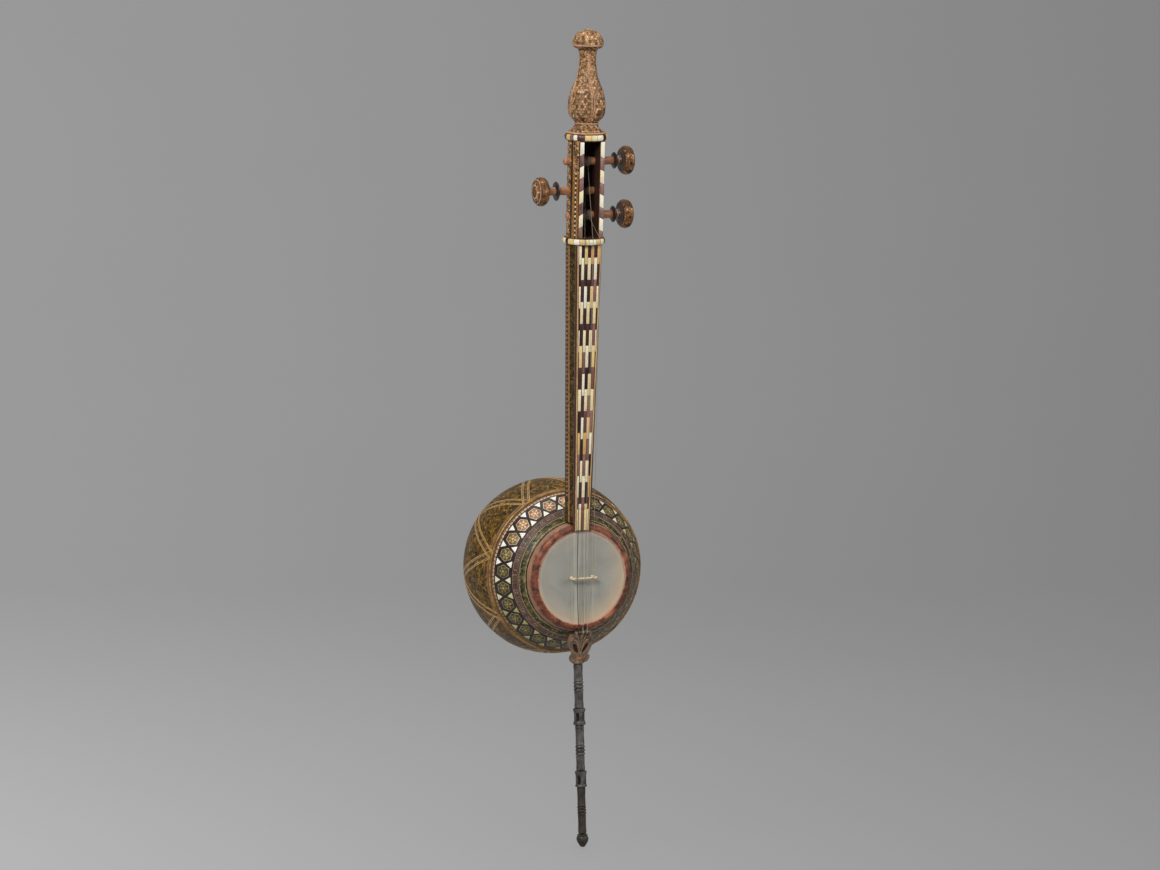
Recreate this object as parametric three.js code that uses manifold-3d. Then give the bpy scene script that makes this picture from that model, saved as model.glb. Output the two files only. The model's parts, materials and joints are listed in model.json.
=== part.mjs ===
// Persian spike fiddle with a marquetry bowl, a parchment belly, three pegs and an iron spike.
// Millimetres, +Z up. The origin is the foot of the spike, the belly faces -Y, and +X is to the
// right of a viewer who faces the belly.
import * as THREE from "three";
import { mergeVertices } from "three/addons/utils/BufferGeometryUtils.js";
import Module from "manifold-3d";

const wasm = await Module();
wasm.setup();

// ---- driving dimensions ----
const GAP = 0.3; // between touching pieces
const CUT_GAP = 0.8; // round a faceted surface that a piece is cut to
const rad = THREE.MathUtils.degToRad;

const BOWL = { y: 89.7, z: 301.9, radius: 98.6, veneer: 1.6, core: 96.2, inside: 91 };
const BOWL_SIDES = 32;
const BEAD = { at: 65.8, radius: 2.1 }; // degrees from the belly's centre
const BANDS = { mosaic: [38.9, 44.3], block: [44.7, 48.4], rosette: [48.8, 64.0], rear: [67.5, 180] };
const RIM = { hole: 49, land: 56, shoulder: 57.6, foot: 58.4, landAt: 85.9, shoulderAt: 83.4, footAt: 80.5 };
const SKIN = { offset: 0.35, thickness: 0.7 };
const RING = { inner: 50.7, offset: 1.4, thickness: 1.1 };

const NECK = { x: -1.2, y: 14.5, lean: rad(3.1), foot: 53, top: 368 };
const NECK_FOOT = { radius: 14, front: 12.9, half: 8.2 };
const NECK_TOP = { radius: 19.5, front: 17, half: 14.2 };
const BOARD_THICKNESS = 2.2;
const COLLAR = { radius: 23.3, hole: 16.4, height: 6.8 };
const LOWER_COLLAR_AT = 371.6;
const UPPER_COLLAR_AT = 483.6;
const PEGBOX = { from: 375.3, to: 479.9, radius: 19.5, front: 17.6, half: 14.7, spigot: 16 };
const TROUGH = { half: 9.5, back: 9, from: 376.2, to: 479 };
const TENON = { radius: 8, length: 22 };
const STRIP = { half: 14.3, thickness: 1.2 };

const PEGS = [
  { at: 457.1, side: 1, tip: 25.4, winding: 0, collar: 9, headAt: 47.6 },
  { at: 425.2, side: -1, tip: 18.4, winding: -2.4, collar: 10.4, headAt: 51.6 },
  { at: 398.9, side: 1, tip: 21.6, winding: 2.4, collar: 9, headAt: 47.6 },
];
const PEG = { radius: 4.5, clearance: 0.3, collarAt: 33.4, head: 15.7 };
const PEG_SIDES = 12;
const PEG_HEAD_SIDES = 16;
const WINDING = { radius: 6.2, half: 4 };

const STRING_RADIUS = 0.4;
const STRINGS = [
  { peg: 1, nut: -9, bridge: -9.5, tail: -5 },
  { peg: 0, nut: 0.6, bridge: 0, tail: 0 },
  { peg: 2, nut: 9, bridge: 9.5, tail: 5 },
];
const NUT_CREST = { y: -24.4, s: 371.9 };
const BRIDGE = { half: 15, top: 8.5, foot: 4.2, thick: 2.6 };
const BRIDGE_AT = { x: 0, z: 302 };
const HITCH = { y: -0.4, z: 241.5, radius: 1.1, half: 9.6, knot: 1.9, cord: 0.55 };

const SPIKE_LEAN = rad(3.75);
const SPIKE_SIDES = 12;
const SPIKE_TENON = { radius: 2.4, length: 7 };
const CAGES = [
  { name: "spike_cage_lower", from: 67, to: 85.4, radius: 6.6, slots: [70.6, 79.6] },
  { name: "spike_cage_upper", from: 136, to: 155, radius: 6.9, slots: [141, 150] },
];
const CAGE_BORE = 3.6;
const CAGE_SLOT = 3.3;
const TANG = { radius: 2.5, from: 204.3, to: 276 };
const DOWEL = { radius: 6, y: 15.4, x: -0.6, from: 260, to: 424 };

const NODE_LOOKS = {
  khatam: { color: 0x6b5a35, roughness: 0.45, metalness: 0.05 },
  gold: { color: 0x9a7636, roughness: 0.4, metalness: 0.2 },
  walnut: { color: 0x4a2f20, roughness: 0.5, metalness: 0 },
  pegwood: { color: 0xa8694a, roughness: 0.5, metalness: 0 },
  ebony: { color: 0x1e1612, roughness: 0.4, metalness: 0 },
  ivory: { color: 0xe4d6b0, roughness: 0.35, metalness: 0 },
  bone: { color: 0xd9c49a, roughness: 0.4, metalness: 0 },
  skin: { color: 0x8f8c80, roughness: 0.6, metalness: 0 },
  leather: { color: 0x8a4330, roughness: 0.65, metalness: 0 },
  iron: { color: 0x3b3835, roughness: 0.6, metalness: 0.8 },
  rust: { color: 0x5a3d2c, roughness: 0.75, metalness: 0.5 },
  gut: { color: 0x6e6450, roughness: 0.5, metalness: 0 },
};

// ---- solids ----
function bare(geometry) {
  const copy = geometry.index ? geometry.toNonIndexed() : geometry.clone();
  return new THREE.BufferGeometry().setAttribute("position", copy.getAttribute("position"));
}

function toSolid(geometry) {
  const merged = mergeVertices(bare(geometry), 1e-3);
  const corners = merged.index.array;
  const kept = [];
  for (let i = 0; i < corners.length; i += 3) {
    const [a, b, c] = corners.subarray(i, i + 3);
    if (a !== b && b !== c && c !== a) kept.push(a, b, c);
  }
  const vertProperties = merged.attributes.position.array;
  return new wasm.Manifold(new wasm.Mesh({ numProp: 3, vertProperties, triVerts: new Uint32Array(kept) }));
}

function toGeometry(solid) {
  const mesh = solid.getMesh();
  const geometry = new THREE.BufferGeometry();
  geometry.setAttribute("position", new THREE.BufferAttribute(mesh.vertProperties, 3));
  geometry.setIndex(new THREE.BufferAttribute(mesh.triVerts, 1));
  geometry.computeVertexNormals();
  return geometry;
}

function cut(geometry, ...tools) {
  return toGeometry(tools.reduce((solid, tool) => solid.subtract(toSolid(tool)), toSolid(geometry)));
}

function join(...geometries) {
  return toGeometry(geometries.map(toSolid).reduce((all, solid) => all.add(solid)));
}

function add(group, name, geometry, look) {
  const mesh = new THREE.Mesh(geometry, new THREE.MeshStandardMaterial(NODE_LOOKS[look]));
  mesh.name = name;
  group.add(mesh);
  return mesh;
}

// A solid of revolution about Z. The profile lists [radius, height], upwards on the outside.
function turned(profile, sides) {
  const points = profile.map(([r, h]) => new THREE.Vector2(r, h));
  return new THREE.LatheGeometry(points, sides).rotateX(Math.PI / 2);
}

// The same about the bowl's own axis, which points back along +Y. Heights are depths behind its centre.
function turnedOnBowl(profile, sides = BOWL_SIDES) {
  return new THREE.LatheGeometry(
    profile.map(([r, depth]) => new THREE.Vector2(r, depth)),
    sides,
  );
}

function closed(profile) {
  return [...profile, profile[0]];
}

function rod(radius, from, to, sides = SPIKE_SIDES) {
  return turned(
    [
      [0, from],
      [radius, from],
      [radius, to],
      [0, to],
    ],
    sides,
  );
}

// Joins rings of corners, each anticlockwise seen from above, into one closed solid.
function loft(rings) {
  const count = rings[0].length;
  const positions = rings.flat().flatMap((p) => [p.x, p.y, p.z]);
  const faces = [];
  for (let k = 0; k + 1 < rings.length; k++)
    for (let i = 0; i < count; i++) {
      const a = k * count + i;
      const b = k * count + ((i + 1) % count);
      faces.push(a, b, b + count, a, b + count, a + count);
    }
  const last = (rings.length - 1) * count;
  for (let i = 1; i + 1 < count; i++) faces.push(0, i + 1, i, last, last + i, last + i + 1);
  const geometry = new THREE.BufferGeometry();
  geometry.setAttribute("position", new THREE.Float32BufferAttribute(positions, 3));
  return geometry.setIndex(faces);
}

function block(x0, x1, y0, y1, z0, z1) {
  const box = new THREE.BoxGeometry(x1 - x0, y1 - y0, z1 - z0);
  return box.translate((x0 + x1) / 2, (y0 + y1) / 2, (z0 + z1) / 2);
}

// ---- bowl ----
function arc(radius, from, to, stepDegrees = 11.25) {
  const steps = Math.max(2, Math.round(Math.abs(to - from) / stepDegrees));
  return Array.from({ length: steps + 1 }, (_, i) => {
    const angle = rad(from + ((to - from) * i) / steps);
    return [radius * Math.sin(angle), -radius * Math.cos(angle)];
  });
}

function sphereBand([from, to]) {
  const outer = arc(BOWL.radius, from, to);
  const inner = arc(BOWL.radius - BOWL.veneer, to, from);
  return turnedOnBowl(closed([...outer, ...inner]));
}

function rearMarquetry() {
  const [from] = BANDS.rear;
  const front = BOWL.radius * Math.cos(rad(from));
  const whole = turnedOnBowl([[0, -front], ...arc(BOWL.radius, from, 180)]);
  const inner = BOWL.radius - BOWL.veneer;
  const start = Math.acos(front / inner) * THREE.MathUtils.RAD2DEG;
  const mouth = inner * Math.sin(rad(start));
  const hollow = turnedOnBowl([[0, -front - 1], [mouth, -front - 1], ...arc(inner, start, 180)]);
  return cut(whole, hollow);
}

// Land, shoulder and foot of the rim, moved outwards by an offset.
function rimProfile(offset) {
  return [
    [RIM.foot + offset, -RIM.footAt],
    [RIM.shoulder + 0.92 * offset, -RIM.shoulderAt - 0.4 * offset],
    [RIM.land + 0.5 * offset, -RIM.landAt - offset],
  ].reverse();
}

function bowlCore() {
  const start = Math.asin(RIM.foot / BOWL.core) * THREE.MathUtils.RAD2DEG;
  const outer = [[0, -RIM.landAt], ...rimProfile(0), ...arc(BOWL.core, start, 180)];
  const hollow = turnedOnBowl(arc(BOWL.inside, 0, 180));
  const mouth = new THREE.CylinderGeometry(RIM.hole, RIM.hole, 60, BOWL_SIDES).translate(0, -80, 0);
  return cut(turnedOnBowl(outer), hollow, mouth, ...bowlBores());
}

// Ways through the bowl's wall for the dowel above and the spike's tang below.
function bowlBores() {
  const toBowl = (geometry) => geometry.translate(0, -BOWL.y, -BOWL.z);
  const top = rod(DOWEL.radius + GAP, 330, 420).translate(DOWEL.x, DOWEL.y, 0);
  const bottom = rod(TANG.radius + GAP, 210, 290).rotateX(-SPIKE_LEAN);
  return [top, bottom].map(toBowl);
}

function membrane() {
  const outer = rimProfile(SKIN.offset + SKIN.thickness);
  const inner = rimProfile(SKIN.offset).reverse();
  return turnedOnBowl([[0, outer[0][1]], ...outer, ...inner, [0, inner.at(-1)[1]]]);
}

function leatherRing() {
  const outer = rimProfile(RING.offset + RING.thickness);
  const inner = rimProfile(RING.offset).reverse();
  const lip = [RING.inner, outer[0][1] + 0.2];
  return turnedOnBowl(closed([lip, ...outer, ...inner, [RING.inner, inner.at(-1)[1]]]));
}

function bellyBead() {
  const radius = BOWL.radius * Math.sin(rad(BEAD.at));
  const ring = new THREE.TorusGeometry(radius, BEAD.radius, 6, BOWL_SIDES).rotateX(Math.PI / 2);
  return ring.translate(0, -BOWL.radius * Math.cos(rad(BEAD.at)), 0);
}

function buildBowl(root) {
  const bowl = new THREE.Group();
  bowl.position.set(0, BOWL.y, BOWL.z);
  root.add(bowl);
  add(bowl, "bowl_core", bowlCore(), "walnut");
  add(bowl, "rear_marquetry", rearMarquetry(), "khatam");
  add(bowl, "belly_bead", bellyBead(), "gold");
  add(bowl, "rosette_band", sphereBand(BANDS.rosette), "khatam");
  add(bowl, "block_band", cut(sphereBand(BANDS.block), ...bowlBores()), "walnut");
  add(bowl, "mosaic_band", cut(sphereBand(BANDS.mosaic), ...bowlBores()), "khatam");
  add(bowl, "skin_membrane", membrane(), "skin");
  add(bowl, "leather_ring", leatherRing(), "leather");
}

// ---- neck ----
function lerp(from, to, s) {
  const t = (s - NECK.foot) / (NECK.top - NECK.foot);
  return THREE.MathUtils.lerp(from, to, t);
}

function neckSize(s) {
  return Object.fromEntries(Object.keys(NECK_TOP).map((k) => [k, lerp(NECK_FOOT[k], NECK_TOP[k], s)]));
}

// Where the flat side from the front corner meets the round back.
function tangent({ radius, front, half }) {
  const reach = Math.hypot(front, half);
  const angle = Math.atan2(-front, half) + Math.acos(Math.min(1, radius / reach));
  return { angle, x: radius * Math.cos(angle), y: radius * Math.sin(angle) };
}

function halfWidthAt(size, y) {
  const t = tangent(size);
  return size.half + ((t.x - size.half) * (y + size.front)) / (t.y + size.front);
}

// A section with a flat front, flat sides and a round back.
function section(size, frontY, s, roundSteps = 14) {
  const { angle } = tangent(size);
  const half = halfWidthAt(size, frontY);
  const ring = [new THREE.Vector3(-half, frontY, s), new THREE.Vector3(half, frontY, s)];
  for (let i = 0; i <= roundSteps; i++) {
    const a = angle + ((Math.PI - 2 * angle) * i) / roundSteps;
    ring.push(new THREE.Vector3(size.radius * Math.cos(a), size.radius * Math.sin(a), s));
  }
  return ring;
}

function inNeckFrame(geometry) {
  geometry.translate(-NECK.x, -NECK.y, -BOWL.z);
  return geometry.rotateX(-NECK.lean);
}

function neckCore() {
  const ends = [30, NECK.top].map((s) => {
    const size = neckSize(s);
    return section(size, -size.front + BOARD_THICKNESS + GAP, s);
  });
  const bowl = new THREE.SphereGeometry(BOWL.radius + CUT_GAP, 64, 48).translate(0, BOWL.y, BOWL.z);
  const ring = new THREE.CylinderGeometry(62, 62, 60, 64).translate(0, 10 - 30, BOWL.z);
  const dowel = rod(DOWEL.radius + GAP, 300, DOWEL.to + 1).translate(DOWEL.x, DOWEL.y, 0);
  const socket = rod(TENON.radius + GAP, NECK.top - TENON.length - 1, NECK.top + 1);
  return cut(loft(ends), inNeckFrame(bowl), inNeckFrame(ring), inNeckFrame(dowel), socket);
}

function fingerboard() {
  const rings = [NECK.foot, NECK.top].map((s) => {
    const size = neckSize(s);
    const front = -size.front;
    const back = halfWidthAt(size, front + BOARD_THICKNESS);
    return [
      new THREE.Vector3(-size.half, front, s),
      new THREE.Vector3(size.half, front, s),
      new THREE.Vector3(back, front + BOARD_THICKNESS, s),
      new THREE.Vector3(-back, front + BOARD_THICKNESS, s),
    ];
  });
  return loft(rings);
}

function collar(at) {
  const half = COLLAR.height / 2;
  const profile = [
    [COLLAR.hole, at - half],
    [COLLAR.radius - 1.6, at - half],
    [COLLAR.radius, at - half + 1.8],
    [COLLAR.radius, at + half - 1.8],
    [COLLAR.radius - 1.6, at + half],
    [COLLAR.hole, at + half],
  ];
  return turned(closed(profile), 24);
}

function pegbox() {
  const box = loft([PEGBOX.from, PEGBOX.to].map((s) => section(PEGBOX, -PEGBOX.front, s)));
  const low = rod(PEGBOX.spigot, NECK.top + GAP, PEGBOX.from + 1, 24);
  const high = rod(PEGBOX.spigot, PEGBOX.to - 1, FINIAL_FOOT - GAP, 24);
  const tenon = rod(TENON.radius, NECK.top - TENON.length, NECK.top + 2);
  const trough = block(-TROUGH.half, TROUGH.half, -40, TROUGH.back, TROUGH.from, TROUGH.to);
  const bores = PEGS.map(({ at }) => alongX(rod(PEG.radius + PEG.clearance, -40, 40, 16), 1).translate(0, 0, at));
  const socket = rod(TENON.radius - 1 + GAP, TROUGH.to + 1, FINIAL_FOOT + 1);
  return cut(join(box, low, high, tenon), trough, ...bores, socket);
}

function cheekStrip(side) {
  const front = -PEGBOX.front - GAP - STRIP.thickness;
  const inner = Math.min(side * TROUGH.half, side * STRIP.half);
  const outer = Math.max(side * TROUGH.half, side * STRIP.half);
  return block(inner, outer, front, -PEGBOX.front - GAP, PEGBOX.from + 0.3, PEGBOX.to - 0.3);
}

function buildNeck(neck) {
  add(neck, "neck_core", neckCore(), "khatam");
  add(neck, "fingerboard", fingerboard(), "ivory");
  add(neck, "lower_collar", collar(LOWER_COLLAR_AT), "gold");
  add(neck, "pegbox", pegbox(), "khatam");
  add(neck, "cheek_strip_left", cheekStrip(-1), "ivory");
  add(neck, "cheek_strip_right", cheekStrip(1), "ivory");
  add(neck, "upper_collar", collar(UPPER_COLLAR_AT), "gold");
}

// ---- finial ----
const FINIAL_FOOT = 487.3;
const FINIAL_OUTLINE = [
  [21.5, 487.3],
  [18.8, 489.3],
  [14.9, 492.6],
  [12.6, 496.8],
  [12.7, 498.9],
  [16.1, 502.1],
  [18.8, 505.4],
  [20.3, 510],
  [20.6, 516],
  [20.1, 523],
  [18.3, 531.5],
  [14.8, 540],
  [12, 548.3],
  [10.3, 557],
  [9.5, 567],
  [9.9, 574],
  [10.6, 576.6],
];
const CAP_OUTLINE = [
  [9.8, 576.9],
  [15, 579.3],
  [17, 581.9],
  [16.4, 586.7],
  [14.6, 591],
  [10.6, 595],
  [5.5, 597.8],
  [0.4, 599],
];
const LOBES = { count: 4, depth: 0.09, from: 499, to: 572 };
const FINIAL_SIDES = 24;
const CAP_TENON = { radius: 4, length: 12 };

function lobed(radius, s, count, depth) {
  return Array.from({ length: FINIAL_SIDES }, (_, i) => {
    const angle = (2 * Math.PI * i) / FINIAL_SIDES;
    const bulge = Math.abs(Math.sin((count / 2) * (angle - Math.PI / 2))) ** 0.6;
    const r = radius * (1 - depth + depth * bulge);
    return new THREE.Vector3(r * Math.cos(angle), r * Math.sin(angle), s);
  });
}

function finialBody() {
  const rings = FINIAL_OUTLINE.map(([r, s]) => {
    const inside = s > LOBES.from && s < LOBES.to;
    return lobed(r, s, LOBES.count, inside ? LOBES.depth : 0);
  });
  const tenon = rod(TENON.radius - 1, TROUGH.to + 1.5, FINIAL_FOOT + 2);
  const socket = rod(CAP_TENON.radius + GAP, 576.6 - CAP_TENON.length - 1, 578);
  return cut(join(loft(rings), tenon), socket);
}

function finialCap() {
  const dome = loft(CAP_OUTLINE.map(([r, s]) => lobed(r, s, 8, 0.05)));
  return join(dome, rod(CAP_TENON.radius, 576.6 - CAP_TENON.length, 578));
}

function buildFinial(neck) {
  add(neck, "finial_body", finialBody(), "khatam");
  add(neck, "finial_cap", finialCap(), "khatam");
}

// ---- pegs ----
function alongX(geometry, side) {
  return geometry.rotateY((side * Math.PI) / 2);
}

function pegShaft({ tip, headAt }) {
  const r = PEG.radius;
  const neck = headAt - 9;
  const profile = [
    [0, -tip],
    [r - 2, -tip],
    [r - 0.7, -tip + 1.2],
    [r - 0.3, -tip + 3],
    [r, 20],
    [r, neck - 3],
    [r + 0.9, neck - GAP],
    [3, neck - GAP],
    [3, neck + 9],
    [0, neck + 9],
  ];
  return turned(profile, PEG_SIDES);
}

function pegCollar({ collar }) {
  const at = PEG.collarAt;
  const hole = PEG.radius + GAP;
  const profile = [
    [hole, at - 2],
    [collar - 1, at - 0.7],
    [collar, at],
    [collar - 0.4, at + 0.7],
    [hole, at + 2],
  ];
  return turned(closed(profile), PEG_SIDES);
}

function pegHead({ headAt }) {
  const at = headAt;
  const outer = [
    [3.3, at - 9],
    [5.4, at - 9],
    [9.2, at - 6.6],
    [13.6, at - 5.5],
    [PEG.head, at - 1.8],
    [PEG.head, at + 2.1],
    [13.2, at + 5.3],
    [9.4, at + 5.8],
    [5, at + 7.9],
    [0, at + 8.5],
    [0, at + 1],
    [3.3, at + 1],
  ];
  return turned(closed(outer), PEG_HEAD_SIDES);
}

function pegWinding({ side, winding }) {
  const at = side * winding;
  const hole = PEG.radius + GAP;
  const profile = [
    [hole, at - WINDING.half],
    [WINDING.radius - 0.5, at - WINDING.half],
    [WINDING.radius, at - WINDING.half + 1],
    [WINDING.radius, at + WINDING.half - 1],
    [WINDING.radius - 0.5, at + WINDING.half],
    [hole, at + WINDING.half],
  ];
  return turned(closed(profile), PEG_SIDES);
}

function buildPegs(neck) {
  PEGS.forEach((peg, i) => {
    const group = new THREE.Group();
    group.position.z = peg.at;
    neck.add(group);
    const name = `peg_${i + 1}`;
    add(group, `${name}_shaft`, alongX(pegShaft(peg), peg.side), "pegwood");
    add(group, `${name}_collar`, alongX(pegCollar(peg), peg.side), "ebony");
    add(group, `${name}_head`, alongX(pegHead(peg), peg.side), "khatam");
    add(group, `${name}_winding`, alongX(pegWinding(peg), peg.side), "gut");
  });
}

// ---- bridge and strings ----
const BELLY_Y = BOWL.y - RIM.landAt - SKIN.offset - SKIN.thickness;

// A bar on two feet, with its height along -Y.
function bridge() {
  const shape = new THREE.Shape();
  const { half, top, foot } = BRIDGE;
  shape.moveTo(-half, 0);
  shape.lineTo(-half + foot, 0);
  shape.quadraticCurveTo(-half + foot + 0.6, 3.6, -half + foot + 3.4, 3.8);
  shape.lineTo(half - foot - 3.4, 3.8);
  shape.quadraticCurveTo(half - foot - 0.6, 3.6, half - foot, 0);
  shape.lineTo(half, 0);
  shape.lineTo(half, top - 2);
  shape.quadraticCurveTo(half, top, half - 2, top);
  shape.lineTo(-half + 2, top);
  shape.quadraticCurveTo(-half, top, -half, top - 2);
  const { thick } = BRIDGE;
  const bar = new THREE.ExtrudeGeometry(shape, { depth: thick, bevelEnabled: false, curveSegments: 3 });
  bar.translate(0, 0, -thick / 2);
  bar.applyMatrix4(new THREE.Matrix4().makeBasis(
    new THREE.Vector3(1, 0, 0), new THREE.Vector3(0, -1, 0), new THREE.Vector3(0, 0, -1)));
  return bar;
}

// A route that an extrusion follows through each of its points.
class Route extends THREE.Curve {
  constructor(points) {
    super();
    this.points = points;
  }
  getPoint(t) {
    const place = t * (this.points.length - 1);
    const i = Math.min(Math.floor(place), this.points.length - 2);
    return this.points[i].clone().lerp(this.points[i + 1], place - i);
  }
  getPointAt(u) {
    return this.getPoint(u);
  }
  getTangentAt(u) {
    return this.getTangent(u);
  }
}

function cordAlong(points, radius, sides = 8) {
  const corners = Array.from({ length: sides }, (_, i) => {
    const angle = (2 * Math.PI * i) / sides;
    return new THREE.Vector2(radius * Math.cos(angle), radius * Math.sin(angle));
  });
  return new THREE.ExtrudeGeometry(new THREE.Shape(corners), {
    steps: points.length - 1,
    bevelEnabled: false,
    extrudePath: new Route(points),
  });
}

function stringPoints(string, neck) {
  const peg = PEGS[string.peg];
  const off = STRING_RADIUS + GAP;
  const fromNeck = (x, y, s) => neck.localToWorld(new THREE.Vector3(x, y, s));
  return [
    fromNeck(peg.winding, -WINDING.radius - off, peg.at),
    fromNeck(string.nut * 0.98, NUT_CREST.y + 1, NUT_CREST.s + 3.6),
    fromNeck(string.nut, NUT_CREST.y, NUT_CREST.s),
    new THREE.Vector3(BRIDGE_AT.x + string.bridge, BELLY_Y - GAP - BRIDGE.top - off, BRIDGE_AT.z),
    new THREE.Vector3(string.tail, HITCH.y, HITCH.z + HITCH.knot + HITCH.cord + off + 0.2),
  ];
}

function knot(x) {
  const ring = new THREE.TorusGeometry(HITCH.knot, HITCH.cord, 6, 10).rotateY(Math.PI / 2);
  return ring.translate(x, HITCH.y, HITCH.z);
}

function buildStrings(root, neck) {
  const stand = new THREE.Group();
  stand.position.set(BRIDGE_AT.x, BELLY_Y - GAP, BRIDGE_AT.z);
  root.add(stand);
  add(stand, "bridge", bridge(), "bone");
  STRINGS.forEach((string, i) => {
    add(root, `string_${i + 1}`, cordAlong(stringPoints(string, neck), STRING_RADIUS), "gut");
    add(root, `string_knot_${i + 1}`, knot(string.tail), "gut");
  });
}

// ---- tail bracket and spike ----
const PLATE = { thickness: 3.8, lean: rad(14), y: 12.4, z: 206 };
const STEM = { radius: 4.2, to: 231 };
const LUG = { at: 8.2, half: 1.2, front: -2.6, back: 3, from: 236.5, to: 242.9 };

const PALMETTE_FOOT = [5.5, 205];
// The right half of the palmette from its foot to its crown: each curve's [bend x, bend z, end x, end z].
const PALMETTE_CURVES = [
  [9, 207, 10.6, 211.5],
  [11.4, 214.6, 8.8, 215.4],
  [10.2, 221, 14.8, 227.6],
  [16.6, 233, 12.6, 239.4],
  [8.6, 241.4, 6.8, 238.8],
  [5.8, 244.6, 0, 240.6],
];

function palmetteEye(side) {
  const eye = new THREE.Path();
  eye.moveTo(side * 2.2, 219.4);
  eye.quadraticCurveTo(side * 7.4, 222, side * 8.6, 229.6);
  eye.quadraticCurveTo(side * 4.4, 229.4, side * 2.2, 219.4);
  return eye;
}

function palmetteOutline() {
  const [footX, footZ] = PALMETTE_FOOT;
  const shape = new THREE.Shape();
  shape.moveTo(-footX, footZ);
  shape.lineTo(footX, footZ);
  for (const curve of PALMETTE_CURVES) shape.quadraticCurveTo(...curve);
  const starts = [PALMETTE_FOOT, ...PALMETTE_CURVES.map((curve) => curve.slice(2))];
  for (let i = PALMETTE_CURVES.length - 1; i >= 0; i--) {
    const [bendX, bendZ] = PALMETTE_CURVES[i];
    const [x, z] = starts[i];
    shape.quadraticCurveTo(-bendX, bendZ, -x, z);
  }
  shape.holes.push(palmetteEye(-1), palmetteEye(1));
  return shape;
}

function palmette() {
  const options = { depth: PLATE.thickness, bevelEnabled: false, curveSegments: 4 };
  const plate = new THREE.ExtrudeGeometry(palmetteOutline(), options).rotateX(Math.PI / 2);
  plate.translate(0, PLATE.thickness / 2, -PLATE.z).rotateX(PLATE.lean);
  return plate.translate(0, PLATE.y, PLATE.z);
}

function tailBracket() {
  const socket = rod(6.5, TANG.from, 215).rotateX(-SPIKE_LEAN);
  const stem = rod(STEM.radius, 210, STEM.to).rotateX(-SPIKE_LEAN);
  const lugs = [-1, 1].map((side) => {
    const at = side * LUG.at;
    return block(at - LUG.half, at + LUG.half, LUG.front, LUG.back, LUG.from, LUG.to);
  });
  const bore = rod(TANG.radius + GAP, 190, 290).rotateX(-SPIKE_LEAN);
  const pinHole = alongX(rod(HITCH.radius + GAP, -12, 12), 1).translate(0, HITCH.y, HITCH.z);
  return cut(join(palmette(), socket, stem, ...lugs), bore, pinHole);
}

function buildTail(root) {
  add(root, "tail_bracket", tailBracket(), "rust");
  const pin = alongX(rod(HITCH.radius, -HITCH.half, HITCH.half, 12), 1);
  add(root, "hitch_pin", pin.translate(0, HITCH.y, HITCH.z), "iron");
}

// A stretch of the spike: its outline, a tenon on top and a socket below where asked.
function spikePiece(outline, { tenon = true, socket = true } = {}) {
  const from = outline[0][1];
  const to = outline.at(-1)[1];
  const body = turned([[0, from], ...outline, [0, to]], SPIKE_SIDES);
  const { radius, length } = SPIKE_TENON;
  const whole = tenon ? join(body, rod(radius, to - 1, to + length)) : body;
  return socket ? cut(whole, rod(radius + GAP, from - 1, from + length + 1)) : toGeometry(toSolid(whole));
}

// A plain rod with a group of turned rings at a stated height.
function ringedOutline(from, to, radius, ringsFrom, ringsTo) {
  const rings = 3;
  const pitch = (ringsTo - ringsFrom) / rings;
  const outline = [[radius, from + GAP]];
  for (let i = 0; i < rings; i++) {
    const at = ringsFrom + i * pitch;
    outline.push([radius - 0.6, at], [radius + 0.5, at + pitch * 0.3]);
    outline.push([radius + 0.5, at + pitch * 0.7], [radius - 0.6, at + pitch]);
  }
  outline.push([radius + 0.2, ringsTo + 0.6], [radius + 0.2, to]);
  return outline;
}

function spikeCage({ from, to, radius, slots }) {
  const outline = [
    [radius - 1.2, from + GAP],
    [radius, from + 1.6],
    [radius - 0.5, slots[0] - 0.6],
    [radius - 0.5, slots[1] + 0.6],
    [radius, to - 1.6],
    [radius - 1.2, to],
  ];
  const middle = (slots[0] + slots[1]) / 2;
  const hollow = rod(CAGE_BORE, slots[0], slots[1]);
  const slotBoxes = [0, 1].map((turn) => {
    const slot = block(-20, 20, -CAGE_SLOT / 2, CAGE_SLOT / 2, slots[0], slots[1]);
    return slot.translate(0, 0, -middle).rotateZ((turn * Math.PI) / 2 + Math.PI / 4).translate(0, 0, middle);
  });
  return cut(spikePiece(outline), hollow, ...slotBoxes);
}

function spikeTip() {
  const outline = [
    [2.2, -1],
    [4.2, 3],
    [6.4, 7.4],
    [6.7, 10],
    [6, 13.2],
    [4.8, 15],
  ];
  const ground = block(-30, 30, -30, 30, -20, 0).rotateX(SPIKE_LEAN);
  return cut(spikePiece(outline, { socket: false }), ground);
}

function buildSpike(root) {
  const spike = new THREE.Group();
  spike.rotation.x = -SPIKE_LEAN;
  root.add(spike);
  add(spike, "spike_tip", spikeTip(), "iron");
  add(spike, "spike_lower_rod", spikePiece(ringedOutline(15, 67, 4.9, 36, 46)), "iron");
  add(spike, "spike_middle_rod", spikePiece(ringedOutline(85.4, 136, 5.2, 102, 114)), "iron");
  add(spike, "spike_upper_rod",
    spikePiece(ringedOutline(155, 204, 5.4, 173, 185), { tenon: false }), "iron");
  CAGES.forEach((cage) => add(spike, cage.name, spikeCage(cage), "iron"));
  add(spike, "spike_tang", rod(TANG.radius, TANG.from, TANG.to), "iron");
}

// ---- inner dowel ----
function innerDowel() {
  const stick = rod(DOWEL.radius, DOWEL.from, DOWEL.to).translate(DOWEL.x, DOWEL.y, 0);
  const socket = rod(TANG.radius + GAP, 220, TANG.to + 1).rotateX(-SPIKE_LEAN);
  return cut(stick, socket);
}

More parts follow.
